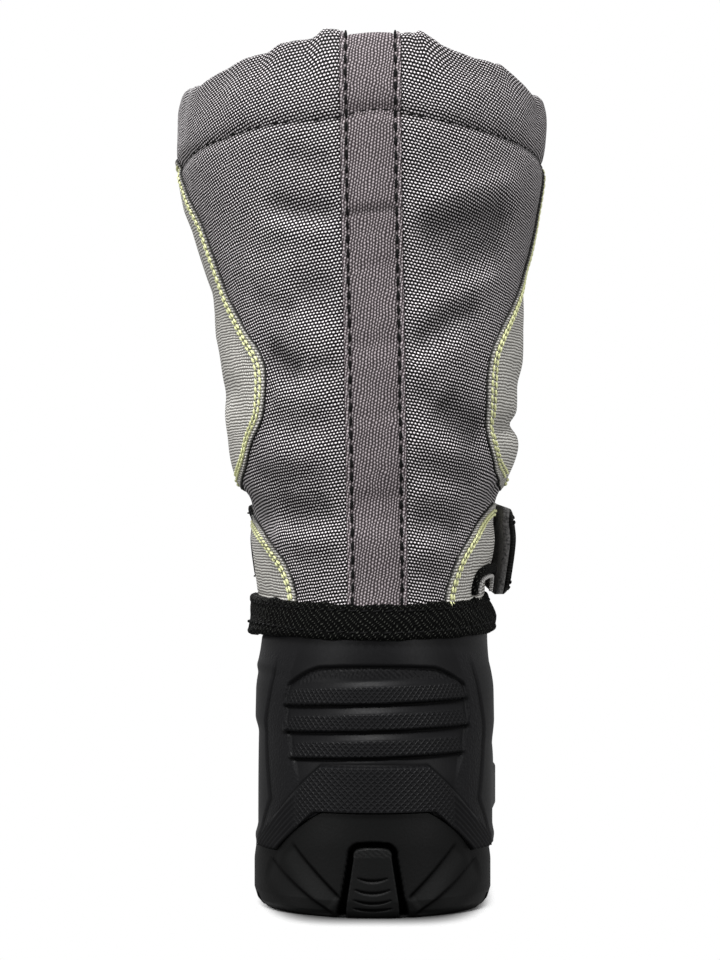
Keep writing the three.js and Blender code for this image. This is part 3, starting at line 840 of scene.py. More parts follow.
def skin(turns, row, thick=None):
    """Points of the fabric at one (level, out, lift, roll) of a course, or of something laid on it so thick.

    roll is the angle, in degrees, through which the fabric has turned over the collar's edge.
    """
    level, out, lift, roll = row
    plain = height_at(level, turns) + lift
    dip = curve(COLLAR_DIP, "turn", "dip", signed(turns)) + 0.85 * pleats(turns)
    dip = dip + 0.12 * ripple(turns * 1.7, 200, 2.0)
    z = plain - dip * smooth(COLLAR_LEVEL - 16, COLLAR_LEVEL, level)
    at = cloth(turns, z, out)
    if thick is not None:
        a = math.radians(roll)
        at = at + normal(turns, plain) * (thick * math.cos(a))[..., None]
        at[..., 2] += thick * math.sin(a)
    return at


def collar_course(first, step, inside):
    """Up the outside from a level, over the collar's rolled edge, and down the inside to another level."""
    top = COLLAR_LEVEL - 2.2
    rows = [(level, 0, 0, 0) for level in np.linspace(first, top, int((top - first) / step))]
    for roll in (20, 45, 70, 90, 110, 135, 160):
        a = math.radians(roll)
        rows.append((top, COLLAR_ROLL * (math.cos(a) - 1), COLLAR_ROLL * math.sin(a), roll))
    start = COLLAR_LEVEL - 3.5
    levels = np.linspace(start, inside, int((start - inside) / 2.5))
    return rows + [(level, -FABRIC_THICKNESS, 0, 180) for level in levels]


def make_upper():
    turns = np.arange(312) * 360 / 312
    course = collar_course(SHELL_TOP_LEVEL + 0.5, 1.1, 226)
    outside = [skin(turns, row) for row in course]
    inside = []
    for level in np.concatenate([np.linspace(224, 100, 34), np.linspace(96, 15, 26)]):
        z = height_at(level, turns)
        out = 0.5 * slack(turns, z) * smooth(96, 130, level)
        inside.append(stand(turns, z, out - FABRIC_THICKNESS - 2.8 * (1 - smooth(80, 100, level))))
    for level in (15, 30, 40, 50, 60, 70, SHELL_TOP_LEVEL - 0.3):
        inside.append(stand(turns, height_at(level, turns), -(SHELL_WALL + GAP)))
    points = np.array(outside + inside)
    rows = np.zeros(len(points), int)
    rows[len(outside) :] = 1
    # painted light: the folds' troughs are shaded and their crests lit, and painted shade runs along the
    # channel's stitched crease
    shade = painted_fold_light(turns, points[..., 2])
    shade = shade * (1 - 0.55 * bell(points[..., 2] - channel_height(turns), 0.9))
    # painted shade: the fabric is darkened over the last rows before the collar's top edge, where it rolls
    # over
    levels = np.array([row[0] for row in course])
    shade[: len(outside)] *= 1 - 0.24 * smooth(COLLAR_LEVEL - 12, COLLAR_LEVEL - 2.2, levels)[:, None]
    uv = round_flow(points, turns)
    uv[..., 1] += 0.17 * np.abs(uv[..., 0])  # each half is cut so that its rows rise towards the strip
    marks = {"shade": shade}
    return grid("upper_fabric", points, uv, nylon_dark, fleece, tube=True, marks=marks, rows_of=rows)


dress(make_upper(), "nylon", "upper")


def slab(name, top, under, uv, finish, marks):
    """A closed sheet between two grids of points, joined all round their edges."""
    at = np.arange(top[..., 0].size).reshape(top.shape[:2])
    a, b, c, d = (x.ravel() for x in (at[:-1, :-1], at[1:, :-1], at[1:, 1:], at[:-1, 1:]))
    rim = np.concatenate([at[0, :-1], at[:-1, -1], at[-1, :0:-1], at[:0:-1, 0]])
    after = np.roll(rim, -1)
    faces = np.concatenate([
        np.stack([a, b, c, d], 1), np.stack([d, c, b, a], 1) + at.size,
        np.stack([rim, after, after + at.size, rim + at.size], 1),
    ])
    points = np.concatenate([top.reshape(-1, 3), under.reshape(-1, 3)])
    mesh = bpy.data.meshes.new(name)
    mesh.from_pydata((points * MM).tolist(), [], faces.tolist())
    if inside_out(mesh, points):
        faces = faces[:, ::-1]
        mesh.clear_geometry()
        mesh.from_pydata((points * MM).tolist(), [], faces.tolist())
    corners = np.concatenate([uv.reshape(-1, 2)] * 2)[faces.ravel()]
    return covered(mesh, corners, {key: np.stack([values] * 2) for key, values in marks.items()}, [finish])


def edge_distance(points):
    """Distance in millimetres from each point of a grid to the nearest of its four edges."""
    across, up = measured(points, 1), measured(points)
    return np.minimum(np.minimum(across, across[:, [-1]] - across), np.minimum(up, up[[-1]] - up))


def eased(count):
    """Steps from 0 to 1 that crowd a little towards both ends."""
    t = np.linspace(0, 1, count)
    return mix(t, smooth(0, 1, t), 0.5)


def along_seam(path, inset):
    """A path of (turn, height) moved sideways on the fabric by so many millimetres, to its left."""
    path, inset = np.array(path, float), np.broadcast_to(np.asarray(inset, float)[..., None], (len(path), 1))
    scale = np.linalg.norm(form(path[:, 0] + 0.5, path[:, 1]) - form(path[:, 0] - 0.5, path[:, 1]), axis=1)
    step = np.gradient(path, axis=0)
    step[:, 0] *= scale
    step = unit(step)
    return path + np.stack([-step[:, 1] / scale, step[:, 0]], 1) * inset


def seam_run(turns, z, off):
    """A stitch run on the fabric: points and outward directions."""
    return cloth(turns, z, off), normal(turns, z)


# Back edges of the light panels, as height and turn, from the lower end to the upper one.
PANEL_EDGES = {
    "inner_upper": [
        (121, 86), (123.5, 72), (127.5, 62), (134.2, 54.6), (139.9, 47.6), (145.6, 44.8), (154, 43.4),
        (160.8, 45.6), (168.3, 52.8), (179.1, 60.2), (191.2, 63.4), (203.7, 68.5), (217.8, 80), (221, 83),
    ],
    "outer_upper": [
        (121.5, -84), (125.5, -63), (129.6, -55.6), (134.6, -51.8), (139.6, -50.2), (148.9, -48.5),
        (155.5, -48.3), (160.8, -49.4), (166.1, -53.2), (173.4, -61), (181, -69), (189.3, -77.5), (200, -84),
        (212, -87), (220, -88),
    ],
    "inner_lower": [
        (84, 39), (88.7, 39.8), (93.4, 41.4), (96.8, 43.4), (99.7, 46), (102.3, 49.4), (106.3, 57),
        (109.8, 66), (112.9, 79), (114, 86),
    ],
    "outer_lower": [
        (84, -34.2), (88.2, -34.9), (92.3, -36.4), (96.9, -38.8), (101.5, -42), (105.4, -47), (108.9, -52.8),
        (112.4, -59.5), (115.5, -68), (117.4, -78),
    ],
}
PANEL_FRONT = 139  # turn of the panels' front edges
lime_runs = []


def make_panel(name, edge):
    edge = table("z turn", *edge)
    side = math.copysign(1, edge["turn"][0])
    z = mix(edge["z"][0], edge["z"][-1], eased(96))
    back = curve(edge, "z", "turn", z)
    front = side * (PANEL_FRONT + 1.5 * np.sin(z * 0.06))
    a = eased(72)
    turns = back[:, None] + (front - back)[:, None] * a
    heights = np.repeat(z[:, None], len(a), 1)
    lower = "lower" in name
    if lower:  # its lower edge runs under the tape
        start = height_at(SHELL_TOP_LEVEL + 0.8, turns[0])
        heights = mix(start, edge["z"][-1], ((z - z[0]) / (z[-1] - z[0]))[:, None])
    base, away = cloth(turns, heights), normal(turns, heights)
    near = edge_distance(base)
    lip = np.sqrt(np.clip(1 - (1 - np.clip(near / 0.4, 0, 1)) ** 2, 0, 1))
    fold = 0.26 * (1 - smooth(1.5, 2.1, near))  # the turned-in edge lies a little thicker
    valley = -0.18 * (bell(near - 2.2, 0.4) + bell(near - 3.9, 0.4))
    # the panel's colour takes a painted shadow along its edges and part of the folds' painted shade and
    # highlights
    piece = slab(
        "panel_" + name, base + away * (0.1 + 0.5 * lip + fold + valley)[..., None], base - 0.35 * away,
        flow(base), nylon_light, {"edge": near, "shade": 0.6 + 0.4 * painted_fold_light(turns, heights)},
    )
    dress(piece, "nylon")
    # the seams follow the back edge, the top, the front edge downwards and, above the tape, the lower edge
    spots = np.stack([turns, heights], -1)
    seams = [spots[:, 0], spots[-1], spots[::-1, -1]] + ([] if lower else [spots[0, ::-1]])
    for seam in seams:
        for inset in (2.15, 0):
            # the second row wanders away from the first over the bulge, where the machine turned
            apart = inset or 3.35 + 0.8 * bell(seam[:, 1] - 150, 10)
            path = along_seam(seam, -side * apart)
            step = 3 if len(path) > 40 else 1
            lime_runs.append(seam_run(*path[step:-step].T, 0.86))


for panel, edge in PANEL_EDGES.items():
    make_panel(panel, edge)
dress(stitches("panel_stitches", lime_runs, lime_thread, 2.15, 2.05, 0.86, slant=14), "nylon")


def strip_turns(arcs, level):
    """Turns at distances from the strip's middle line, to the inner side where they are positive."""
    spread = np.linspace(0, 70, 211)
    z = float(height_at(level, 0))
    inner, outer = (measured(form(side * spread, z)[:, :2]) for side in (1, -1))
    return np.where(arcs >= 0, np.interp(arcs, inner, spread), -np.interp(-arcs, outer, spread))


STRIP_HALF, STRIP_SEAM = 8.8, 6.85
# Wrinkles across the strip: level, depth and half width.
STRIP_WRINKLES = ((199, 0.75, 0.9), (183, 0.3, 2.2), (161, 0.35, 2.4), (141, 0.3, 2), (118, 0.4, 2.4))


def make_strip():
    course = collar_course(SHELL_TOP_LEVEL + 0.6, 1.0, 238)
    even = np.linspace(-1, 1, 37)
    arcs = STRIP_HALF * (np.sin(even * np.pi / 2) + even) / 2
    gap = np.abs(arcs)
    crown = 0.7 + 0.4 * np.cos(np.clip(arcs / STRIP_SEAM, -1, 1) * np.pi / 2)
    roll = 0.22 * bell(gap - 7.9, 0.5) - 0.35 * bell(gap - STRIP_SEAM, 0.4)
    lip = np.sqrt(np.clip(1 - np.clip((gap - 8.0) / 0.8, 0, 1) ** 2, 0, 1))
    top, under = [], []
    for i, row in enumerate(course):
        turns = strip_turns(arcs, row[0])
        outside = row[3] == 0
        level = row[0] if outside else COLLAR_LEVEL
        wrinkle = 0.16 * math.sin(i * 0.31) * math.sin(i * 0.083 + 1)
        for at, deep, reach in STRIP_WRINKLES:
            wrinkle = wrinkle - deep * bell(level - at + 0.12 * arcs, reach)
        line = bell(height_at(row[0], 0) - channel_height(0), 0.9) * outside
        top.append(skin(turns, row, (crown + roll + wrinkle * (gap < 6)) * lip - 0.3 * line))
        under.append(skin(turns, row, np.full(len(arcs), -0.3)))
    top = np.array(top)
    uv = flow(top)
    uv[..., 0] = arcs
    # painted shade in the seam's groove, a band a quarter lighter along the rolled edge, painted shade in the
    # crease at 199 mm, over half the folds' painted shade and highlights
    seam = 1 - 0.15 * bell(gap - STRIP_SEAM, 0.35)
    seam = seam * (1 + 0.25 * smooth(7.1, 7.5, gap) * (1 - smooth(8.3, 8.7, gap)))
    crease = bell(top[..., 2] - 198.6 + 0.12 * arcs, 0.8)
    shade = seam * (0.5 + 0.5 * painted_fold_light(0, top[..., 2])) * (1 - 0.6 * crease)
    marks = {"edge": np.broadcast_to(STRIP_HALF - gap, shade.shape), "shade": shade}
    dress(slab("back_strip", top, np.array(under), uv, webbing_strip, marks), "webbing")


make_strip()


def strip_seams():
    """Two rows of black stitches down the strip, and the channel's row, which runs over it."""
    runs, pale = [], []
    levels = np.linspace(SHELL_TOP_LEVEL + 5, COLLAR_LEVEL - 1, 150)
    for side in (-1, 1):
        turns = np.array([float(strip_turns(side * STRIP_SEAM, level)) for level in levels])
        z = height_at(levels, turns)
        runs.append(seam_run(turns, z, 0.7))
        pale.append((cloth(turns + side * 1.0, z, 0.85), normal(turns, z)))
    dress(stitches("strip_stitches", runs, black_thread, 3.9, 3.0, 0.95), "webbing")
    dress(stitches("strip_thread", pale, grey_thread, 3.9, 1.5, 0.42, slant=16), "webbing")
    # the channel's row sinks into the fabric and rides over the strip
    runs = []
    for turns, off in ((np.linspace(9.2, 350.8, 480), 0.06), (np.linspace(-8, 8, 21), 1.75)):
        runs.append(seam_run(turns, channel_height(turns), off))
    dress(stitches("channel_stitches", runs, black_thread, 3.1, 2.1, 0.5, slant=5), "nylon")


strip_seams()

# ---------------------------------------------------------------- tape round the top of the lower

# Section of the tape: share of its width, and how far out.
TAPE_PROFILE = (
    (0.06, 0.0), (0.0, 0.35), (0.02, 0.8), (0.07, 1.15), (0.13, 1.3), (0.2, 1.05), (0.3, 1.3), (0.4, 1.45),
    (0.5, 1.5), (0.6, 1.45), (0.7, 1.3), (0.8, 1.05), (0.87, 1.25), (0.93, 1.1), (0.98, 0.8), (1.0, 0.4),
    (0.95, 0.0),
)


def swell(turns):
    """Where the tape stands proud on the inner side and on the outer side."""
    return bell(signed(turns - 82), 38), bell(signed(turns - 276), 34)


def make_binding():
    turns = np.arange(420) * 360 / 420
    a = np.radians(turns)
    low, high = TAPE_LEVEL + 0.1, TAPE_LEVEL + TAPE_WIDTH
    wave = 0.22 * np.sin(a * 31 + 1) * np.sin(a * 5)
    inner_side, outer_side = swell(turns)
    rows = []
    for share, out in TAPE_PROFILE:
        proud_face = out > 0.5
        pucker = 0.16 * np.sin(a * 92 + 2 * np.sin(a * 7)) * proud_face
        stray = wave + 0.25 * np.sin(a * 13 + share * 2)
        full = min(out, 1)
        proud = (1.5 + 1.6 * (1 - smooth(0.12, 0.5, share))) * inner_side * full
        outer = 1.1 * full * (1 - smooth(0.35, 0.7, share)) - 1.3 * smooth(0.6, 1, share)
        proud = proud + outer_side * outer
        z = height_at(mix(low, high, share), turns) + stray * ((share > 0.9) + 0.5 * (share < 0.1))
        z = z - (2.2 * bell(signed(turns - 82), 30) + 1.4 * outer_side) * (1 - share)
        rows.append(stand(turns, z, GAP + out + proud + pucker + 0.2 * stray * proud_face))
    points = np.array(rows)
    piece = grid("binding_tape", points, round_flow(points, turns), twill_tape, tube=True)
    dress(piece, "webbing", "binding")
    turns = np.linspace(0, 360, 500)
    inner_side, outer_side = swell(turns)
    runs = []
    for share, inner, outer in ((0.2, 2.9, 1.1), (0.8, 1.5, -0.65)):
        z = height_at(mix(low, high, share), turns)
        proud = 1.45 + inner * inner_side + outer * outer_side
        runs.append((stand(turns, z, proud), normal(turns, z)))
    dress(stitches("binding_stitches", runs, black_thread, 3.4, 2.5, 0.6, slant=8), "webbing")


make_binding()

# ---------------------------------------------------------------- moulded lower


def ridge(value, low, high, soft_low, soft_high):
    """1 between two bounds, rising over soft_low below the one and falling over soft_high above the other."""
    return smooth(low - soft_low, low, value) * (1 - smooth(high, high + soft_high, value))


def lower_turns():
    """Turns crowded round the heel, where the relief is."""
    fine = np.linspace(-52, 52, 330)
    sides = [np.linspace(52.4, 140, 110), np.linspace(140.8, 219.2, 70), np.linspace(220, 307.6, 110)]
    return np.concatenate([fine[fine >= 0], *sides, fine[fine < 0] + 360])


def round_arc(turns, z=50.0):
    """Signed distance from the back seam, inner side positive."""
    ring = form(turns, z)[:, :2]
    whole = measured(ring)
    return np.where(turns > 180, whole - whole[-1] - np.linalg.norm(ring[0] - ring[-1]), whole)


def moulded(name, rows, marks, u, finish, **joins):
    """A moulded wall from its rows, with the arcs round it and each row's marks: hatch, grain and light."""
    points = np.array(rows)
    heights = np.concatenate([points, points[:, :1]], 1)[..., 2]
    uv = np.stack(np.broadcast_arrays(np.append(u, u[-1] + 0.5), heights), -1)
    columns = {
        key: np.array([np.broadcast_to(row[i], len(u)) for row in marks])
        for i, key in enumerate(("hatch", "grain", "light"))
    }
    return grid(name, points, uv, finish, marks=columns, **joins)


def ball_trim(u, z):
    """The inner side of the ball of the foot is cut a little closer than the plan, up to the toe's spring."""
    return 1.7 * bell(u - 176, 34) * (1 - smooth(36, 52, z))


# The three hatched bars of the heel panel: lower and upper height, and reach to each side.
HEEL_BARS = ((60.4, 64.7, 34), (52.9, 57.1, 32), (45.4, 49.6, 28.5))


def shell_relief(u, z):
    """Height of the mould's relief, its hatching and grain, and how light it is painted, at an arc and a
    height.
    """
    g = np.abs(u + 1)  # the panel sits a millimetre to the outer side
    tilt = 0.03 * -u  # the bars fall a little towards the outer side
    h = z - tilt * (g < 60)
    # the sunk panel: its arched top edge, its half width, and a roughened strip and painted shade along a line
    # under the edge
    top = 70.9 - 0.0012 * u**2 - 0.055 * np.maximum(g - 21, 0) ** 1.7
    half = np.interp(z, [38, 61, 72], [24, 34, 34.5])
    inside = 1 - smooth(half - 1.2, half + 0.4, g)
    below = 1 - smooth(top - 0.5, top + 0.35, z)
    out = -0.85 * inside * below * smooth(38, 46, z)
    rough = inside * ridge(z, top - 3.0, top - 0.9, 0.5, 0.5) * smooth(2, 6, 34 - g)
    out = out + 0.16 * rough * np.sin(u * 4.1 + np.sin(z * 3.7 + u * 1.3) * 1.8)
    brow = inside * bell(z - top + 0.35, 0.42)
    out, dark = out - 0.5 * brow, 0.6 * brow
    # painted shade along the sunk panel's sides
    dark = dark + 0.25 * bell(g - half, 0.5) * below * smooth(44, 50, z)
    hatch = np.zeros(np.shape(out))
    for low, high, reach in HEEL_BARS:
        ends = 1 - smooth(reach - 4.5 + 0.5 * (high - h), reach + 0.4, g)
        bar = ridge(h, low, high, 0.3, 2.2) * ends
        # painted shade in the step under each bar
        under = bell(h - low + 0.6, 0.42) * ends
        out = out + 0.85 * bar - 0.55 * under
        dark = dark + 0.85 * under
        hatch = np.maximum(hatch, ridge(h, low + 0.2, high - 0.2, 0.3, 0.4) * ends)
    g = np.abs(u)
    # the band over the heel: level behind, then down both sides to thin ribbed ends
    upper_line = 42.0 - 0.9 * np.clip(g - 15.6, 0, 14.4) - 0.72 * np.maximum(g - 30, 0)
    lower_line = 29.6 - np.where(g > 17, 0.8 * (g - 17), 0)
    band = smooth(lower_line - 0.4, lower_line + 0.2, z) * (1 - smooth(upper_line, upper_line + 0.9, z))
    band = band * (1 - smooth(42, 46, g))
    out = np.maximum(out, out * (1 - band) + 0.85 * band)
    # painted shade along the band's upper and lower edges
    dark = dark + 0.5 * bell(z - upper_line - 1.1, 0.45) * (g < 44)
    dark = dark + 0.6 * bell(z - np.maximum(lower_line, 18), 0.4) * (g < 44)
    hatch = np.maximum(hatch, band * (1 - smooth(21, 25, g)))
    rib_pitch = 1.7
    ribs = band * smooth(21, 25, g)
    out = out + 0.2 * ribs * np.sin((z + 0.85 * (g - 17)) * 2 * np.pi / rib_pitch)
    # smooth blades up both sides, their back edge leaning forwards as it rises
    back_edge = np.interp(z, [17, 32, 50, 70, 80], [47, 36, 40.5, 43.5, 45])
    blade = smooth(back_edge - 0.7, back_edge + 0.5, g) * (1 - smooth(66, 78, g + 0.3 * (z - 50)))
    blade = blade * ridge(z, 21, 69, 3, 5)
    out = out + 0.4 * blade
    # painted shade along the blades' back edges
    dark = dark + 0.5 * bell(g - back_edge + 0.9, 0.6) * ridge(z, 24, 68, 3, 4)
    # sides and front: a plain foxing band above the joint, and low ribs over the toe
    foxing = smooth(60, 74, g) * (1 - smooth(30.5, 31.6, z))
    out = out + 0.7 * foxing
    cap_pitch = 4
    cap = smooth(168, 180, g) * ridge(z, 34, 50, 1.5, 3)
    out = out + 0.3 * cap * np.sin(z * 2 * np.pi / cap_pitch)
    plain = smooth(72, 75.5, z)
    grain = (1 - np.clip(inside + band + blade, 0, 1)) * (1 - plain) * (1 - 0.8 * foxing)
    # painted light: the blades and the plain top a little lighter as highlights, the sunk panel a little
    # darker as shade, and every dark line above is painted shade
    light = (1 + 0.12 * blade + 0.12 * plain - 0.1 * inside) * (1 - np.clip(dark, 0, 0.88))
    # the waist of the foot: both flanks draw in low down, and the inner one stands out under the tape
    flank = bell(u - 62, 26)
    out = out - flank * (1.2 * ridge(z, 24, 50, 5, 5) - 0.9 * ridge(z, 70, 77, 3, 2)) - ball_trim(u, z)
    out = out - 0.8 * bell(u + 62, 26) * ridge(z, 24, 46, 5, 8)
    out = out * (1 - smooth(78, 80, z))
    return out, hatch, grain, light


def make_shell():
    turns = lower_turns()
    u = round_arc(turns)
    rows, marks = [], []
    for level in np.concatenate([np.linspace(PART_LEVEL, 76, 128), np.linspace(77, SHELL_TOP_LEVEL, 5)]):
        z = height_at(level, turns) + GAP / 2 * (level == PART_LEVEL)
        out, *row_marks = shell_relief(u, z)
        rows.append(stand(turns, z, out))
        marks.append(row_marks)
    for level in (SHELL_TOP_LEVEL, 70, 60, 50, 40, 30, PART_LEVEL):
        z = height_at(level, turns) + GAP / 2 * (level == PART_LEVEL)
        rows.append(stand(turns, z, -SHELL_WALL))
        marks.append((0, 0, 1))
    piece = moulded("lower_shell", rows, marks, u, shell_rubber, tube=True)
    dress(piece, "shell_rubber", "shell")


make_shell()

# ---------------------------------------------------------------- outsole


def under_sole(x, s):
    """Height of the tread over the floor: lugs, the grooves between them, and the hollow of the waist."""
    cut = np.zeros(np.shape(s + x))
    for at, sweep in GROOVES:
        line = at + np.abs(x) * sweep / 40
        cut = np.maximum(cut, 1 - smooth(GROOVE_WIDTH / 2 - 0.5, GROOVE_WIDTH / 2 + 0.5, np.abs(s - line)))
    arch = ARCH_RISE * smooth(ARCH_FROM, ARCH_FROM + 9, s) * (1 - smooth(ARCH_TO - 9, ARCH_TO, s))
    return toe_spring(s) + np.maximum(LUG_DEPTH * cut, arch)


TAB_MIDDLE = 0.5
# The cuts across the heel tab: height of the middle, how far the ends rise, and half the length.
TAB_CUTS = ((10.75, 0.95, 4.4), (7.3, 1.2, 5.3), (4.45, 1.05, 5.6), (2.4, 0.7, 5.8))
# The facets beside the tab, each a step along a line from one (arc, height) to another.
SOLE_FACETS = (((10.7, 6.8), (24, 19)), ((13.5, 1.9), (33.5, 14.4)))


def sole_relief(u, z):
    """Relief of the outsole's wall and how light it is painted: the tab behind the heel, its cuts, and the
    facets.
    """
    across = u - TAB_MIDDLE
    g = np.abs(across)
    half = np.interp(z, [1.4, 6.3, 17], [7.9, 7.1, 5.4])
    top = 19.9 - 0.012 * across**2
    corner = 1.6
    side, over = g - half + corner, z - top + corner
    gap = np.hypot(np.maximum(side, 0), np.maximum(over, 0)) + np.minimum(np.maximum(side, over), 0) - corner
    width = np.interp(z, [1, 6, 17], [2.9, 2.0, 1.8])
    groove = smooth(-0.15, 0.2, gap) * (1 - smooth(width - 0.2, width + 0.15, gap))
    tab = 1 - smooth(-0.3, 0.1, gap)
    out = 0.15 * tab - 1.5 * groove
    rough = tab * ridge(z, top - 2.3, top - 0.7, 0.3, 0.4)
    out = out + 0.16 * rough * np.sin(across * 5.1 + 2 * np.sin(z * 4 + across * 1.7))
    # painted light: the tab a little lighter and its roughened top lighter still, as painted highlights, and
    # the groove round it nearly black, as painted shade
    light = 1 + 0.15 * tab - 0.97 * groove + 0.5 * rough
    # each cut across the tab is painted dark, as painted shade
    for at, rise, reach in TAB_CUTS:
        share = g / reach
        line = at + rise * share**2
        thick = 0.42 * np.clip(1 - share**2, 0.02, 1) ** 0.6
        cut = bell(z - line, thick) * (1 - smooth(0.92, 1, share))
        out, light = out - 0.8 * cut, light * (1 - 0.85 * cut)
    g = np.abs(u)
    # each facet: painted shade along its crease, and a painted highlight on the sunk face a little below it
    for a, b in SOLE_FACETS:
        d = np.array(b, float) - a
        length = math.hypot(*d)
        d = d / length
        t = (g - a[0]) * d[0] + (z - a[1]) * d[1]
        below = (g - a[0]) * d[1] - (z - a[1]) * d[0]
        on = ridge(t, 0, length, 2, 3)
        out = out - 0.7 * on * smooth(-0.3, 0.3, below) * (1 - smooth(0.3, 9, below))
        light = light * (1 - 0.85 * on * bell(below, 0.6) + 0.3 * on * ridge(below, 1.6, 4, 1.2, 4))
    return out - ball_trim(u, z), light


def drawn_in(ring, shares):
    """Copies of a ring of points, each drawn in by its share of the way to the boot's middle line."""
    rings = np.repeat(ring[None], len(shares), 0)
    centre = np.interp(HEEL_BACK_Y - ring[:, 1], PLAN["s"], PLAN["centre"])
    rings[..., 0] = mix(ring[:, 0], centre, np.array(shares)[:, None])
    return rings


def make_outsole():
    turns = lower_turns()
    u = round_arc(turns, 15.0)
    wall, marks = [], []
    lift_base = height_at(0.0, turns)
    floor_line = height_at(PART_LEVEL, turns) - GAP / 2
    outer_side = smooth(0.15, 0.9, -np.sin(np.radians(turns)))

    def row(z, out, relief=1.0):
        trim = 1.5 * (1 - smooth(16, 26, z)) * outer_side
        height, light = sole_relief(u, z)
        raised = stand(turns, z, out - trim + relief * height)
        foot = under_sole(raised[..., 0], HEEL_BACK_Y - raised[..., 1])
        raised[..., 2] = np.maximum(raised[..., 2], foot)
        wall.append(raised)
        marks.append((0, 0.12, mix(1.0, light, relief)))

    rim = 5.0  # millimetres over which the wall rounds in to the floor
    for lift in np.concatenate([[0, 0.35], np.linspace(0.7, rim, 20)]):
        out = np.interp(lift, [0, 0.7, 2, rim], [-2.2, -1.45, -0.4, 0.5])
        row(lift_base + lift, out, smooth(0, 1.2, lift))
    for t in np.linspace(0, 1, 76)[1:]:
        row(mix(lift_base + rim, floor_line, t), mix(0.5, 0.0, smooth(0.6, 1, t)))
    row(floor_line, -1.2, 0.0)
    row(floor_line, -SHELL_WALL, 0.0)
    row(height_at(BED_LEVEL, turns), -SHELL_WALL, 0.0)
    # the underside and the bed close the wall, each as a ring drawn in to the middle line
    shares = (0.12, 0.25, 0.4, 0.55, 0.7, 0.85, 1.0)
    foot, bed = drawn_in(wall[0], shares), drawn_in(wall[-1], shares)
    foot[..., 2] = under_sole(foot[..., 0], HEEL_BACK_Y - foot[..., 1])
    plain = [(0, 0.3, 1)] * len(shares)
    rows = [*foot[::-1], *wall, *bed]
    piece = moulded("outsole_tread", rows, plain + marks + plain, u, sole_rubber)
    # the two middle lines are seams where both sides meet
    work = bmesh.new()
    work.from_mesh(piece.data)
    bmesh.ops.remove_doubles(work, verts=work.verts, dist=2e-5)
    bmesh.ops.holes_fill(work, edges=[e for e in work.edges if e.is_boundary], sides=0)
    bmesh.ops.recalc_face_normals(work, faces=work.faces)
    work.to_mesh(piece.data)
    work.free()
    dress(piece, "outsole_rubber", "outsole")


make_outsole()


def make_insole():
    turns = np.arange(180) * 2.0
    padding, room = 4, 0.8  # thickness of the upper's foot, and room to lift the insole out
    edge = -(SHELL_WALL + GAP + padding + room)
    rows = []
    for lift, inset in ((0.3, -0.6), (0.8, 0), (3.6, 0), (4.2, -0.6)):
        rows.append(stand(turns, height_at(BED_LEVEL, turns) + lift, edge + inset))
    shares = np.array((0.15, 0.35, 0.6, 0.85, 1.0))
    top = drawn_in(rows[-1], shares)
    top[..., 2] -= 0.9 * shares[:, None]  # dished towards the middle
    points = np.array([*rows, *top])
    dress(grid("insole_felt_bed", points, round_flow(points, turns), felt), "insole_felt", "insole")


make_insole()

# ---------------------------------------------------------------- strap and keeper


def make_strap():
    turns = np.linspace(STRAP["turn"][0], STRAP["turn"][-1], 150)
    low, high, off = (curve(STRAP, "turn", name, turns) for name in ("low", "high", "off"))
    # the free end has rounded corners
    ends = np.clip((STRAP["turn"][-1] - turns) / 7, 0, 1)
    middle, half = (low + high) / 2, (high - low) / 2 * np.sqrt(1 - (1 - ends) ** 4 * 0.5)
    across = eased(34) * 2 - 1
    z = middle[:, None] + half[:, None] * across
    around = np.repeat(turns[:, None], len(across), 1)

    def sheet_at(share):
        return stand(around, z, off[:, None] + STRAP_THICKNESS * share)

    edge = 0.35 + 0.65 * (1 - np.abs(across) ** 14)
    face = sheet_at(0.42)
    outer = mix(face, sheet_at(1.0), edge[..., None])
    piece = slab("strap_band", outer, face, flow(outer), strap_weave, {})
    dress(piece, "strap_webbing", "strap")
    backing = sheet_at(-0.25)
    fuzz = slab("strap_loop_side", face - 0.02 * normal(around, z), backing, flow(backing), loops, {})
    dress(fuzz, "strap_webbing")
    runs = []
    for side in (-0.86, 0.86):
        y = middle + half * side
        runs.append((stand(turns, y, off + STRAP_THICKNESS + 0.02), normal(turns, y)))
    dress(stitches("strap_stitches", runs, black_thread, 2.6, 2.0, 0.6), "strap_webbing")


make_strap()


def loop_path(width, thickness, off, course):
    """A bent band's middle line, with half its width and half its thickness as directions."""
    fine = np.linspace(0, len(course["turn"]) - 1, 61)
    smoothed = []
    for key in ("turn", "above"):
        values = np.pad(np.interp(fine, np.arange(len(course[key])), course[key]), 3, "edge")
        smoothed.append(np.convolve(values, np.ones(7) / 7, "valid"))
    turns, rise = smoothed
    z = height_at(TAPE_LEVEL + TAPE_WIDTH, turns) + rise
    at, out = stand(turns, z, off + thickness / 2), normal(turns, z)
    across = unit(np.cross(np.gradient(at, axis=0), out)) * width / 2
    return at, across, out * thickness / 2


def make_keeper():
    angles = np.radians(np.arange(20) * 18)
    section = [np.sign(w) * np.abs(w) ** power for w, power in ((np.cos(angles), 0.5), (np.sin(angles), 0.6))]
    inner = {"turn": 289 + (KEEPER_COURSE["turn"] - 289) * 0.74, "above": KEEPER_COURSE["above"] * 0.72}
    for name, sizes, course, finish, nodes in (
        ("keeper_loop", (2.7, 1.5, 0.6), KEEPER_COURSE, twill_tape, ["keeper"]),
        ("keeper_lining", (1.1, 1.2, 0.7), inner, keeper_weave, []),
    ):
        at, across, deep = loop_path(*sizes, course)
        points = np.array([at + across * c + deep * d for c, d in zip(*section)]).transpose(1, 0, 2)
        uv = flow(np.concatenate([points, points[:, :1]], 1))
        dress(grid(name, points, uv, finish, caps=True), "webbing", *nodes)


make_keeper()

# ---------------------------------------------------------------- stage and light


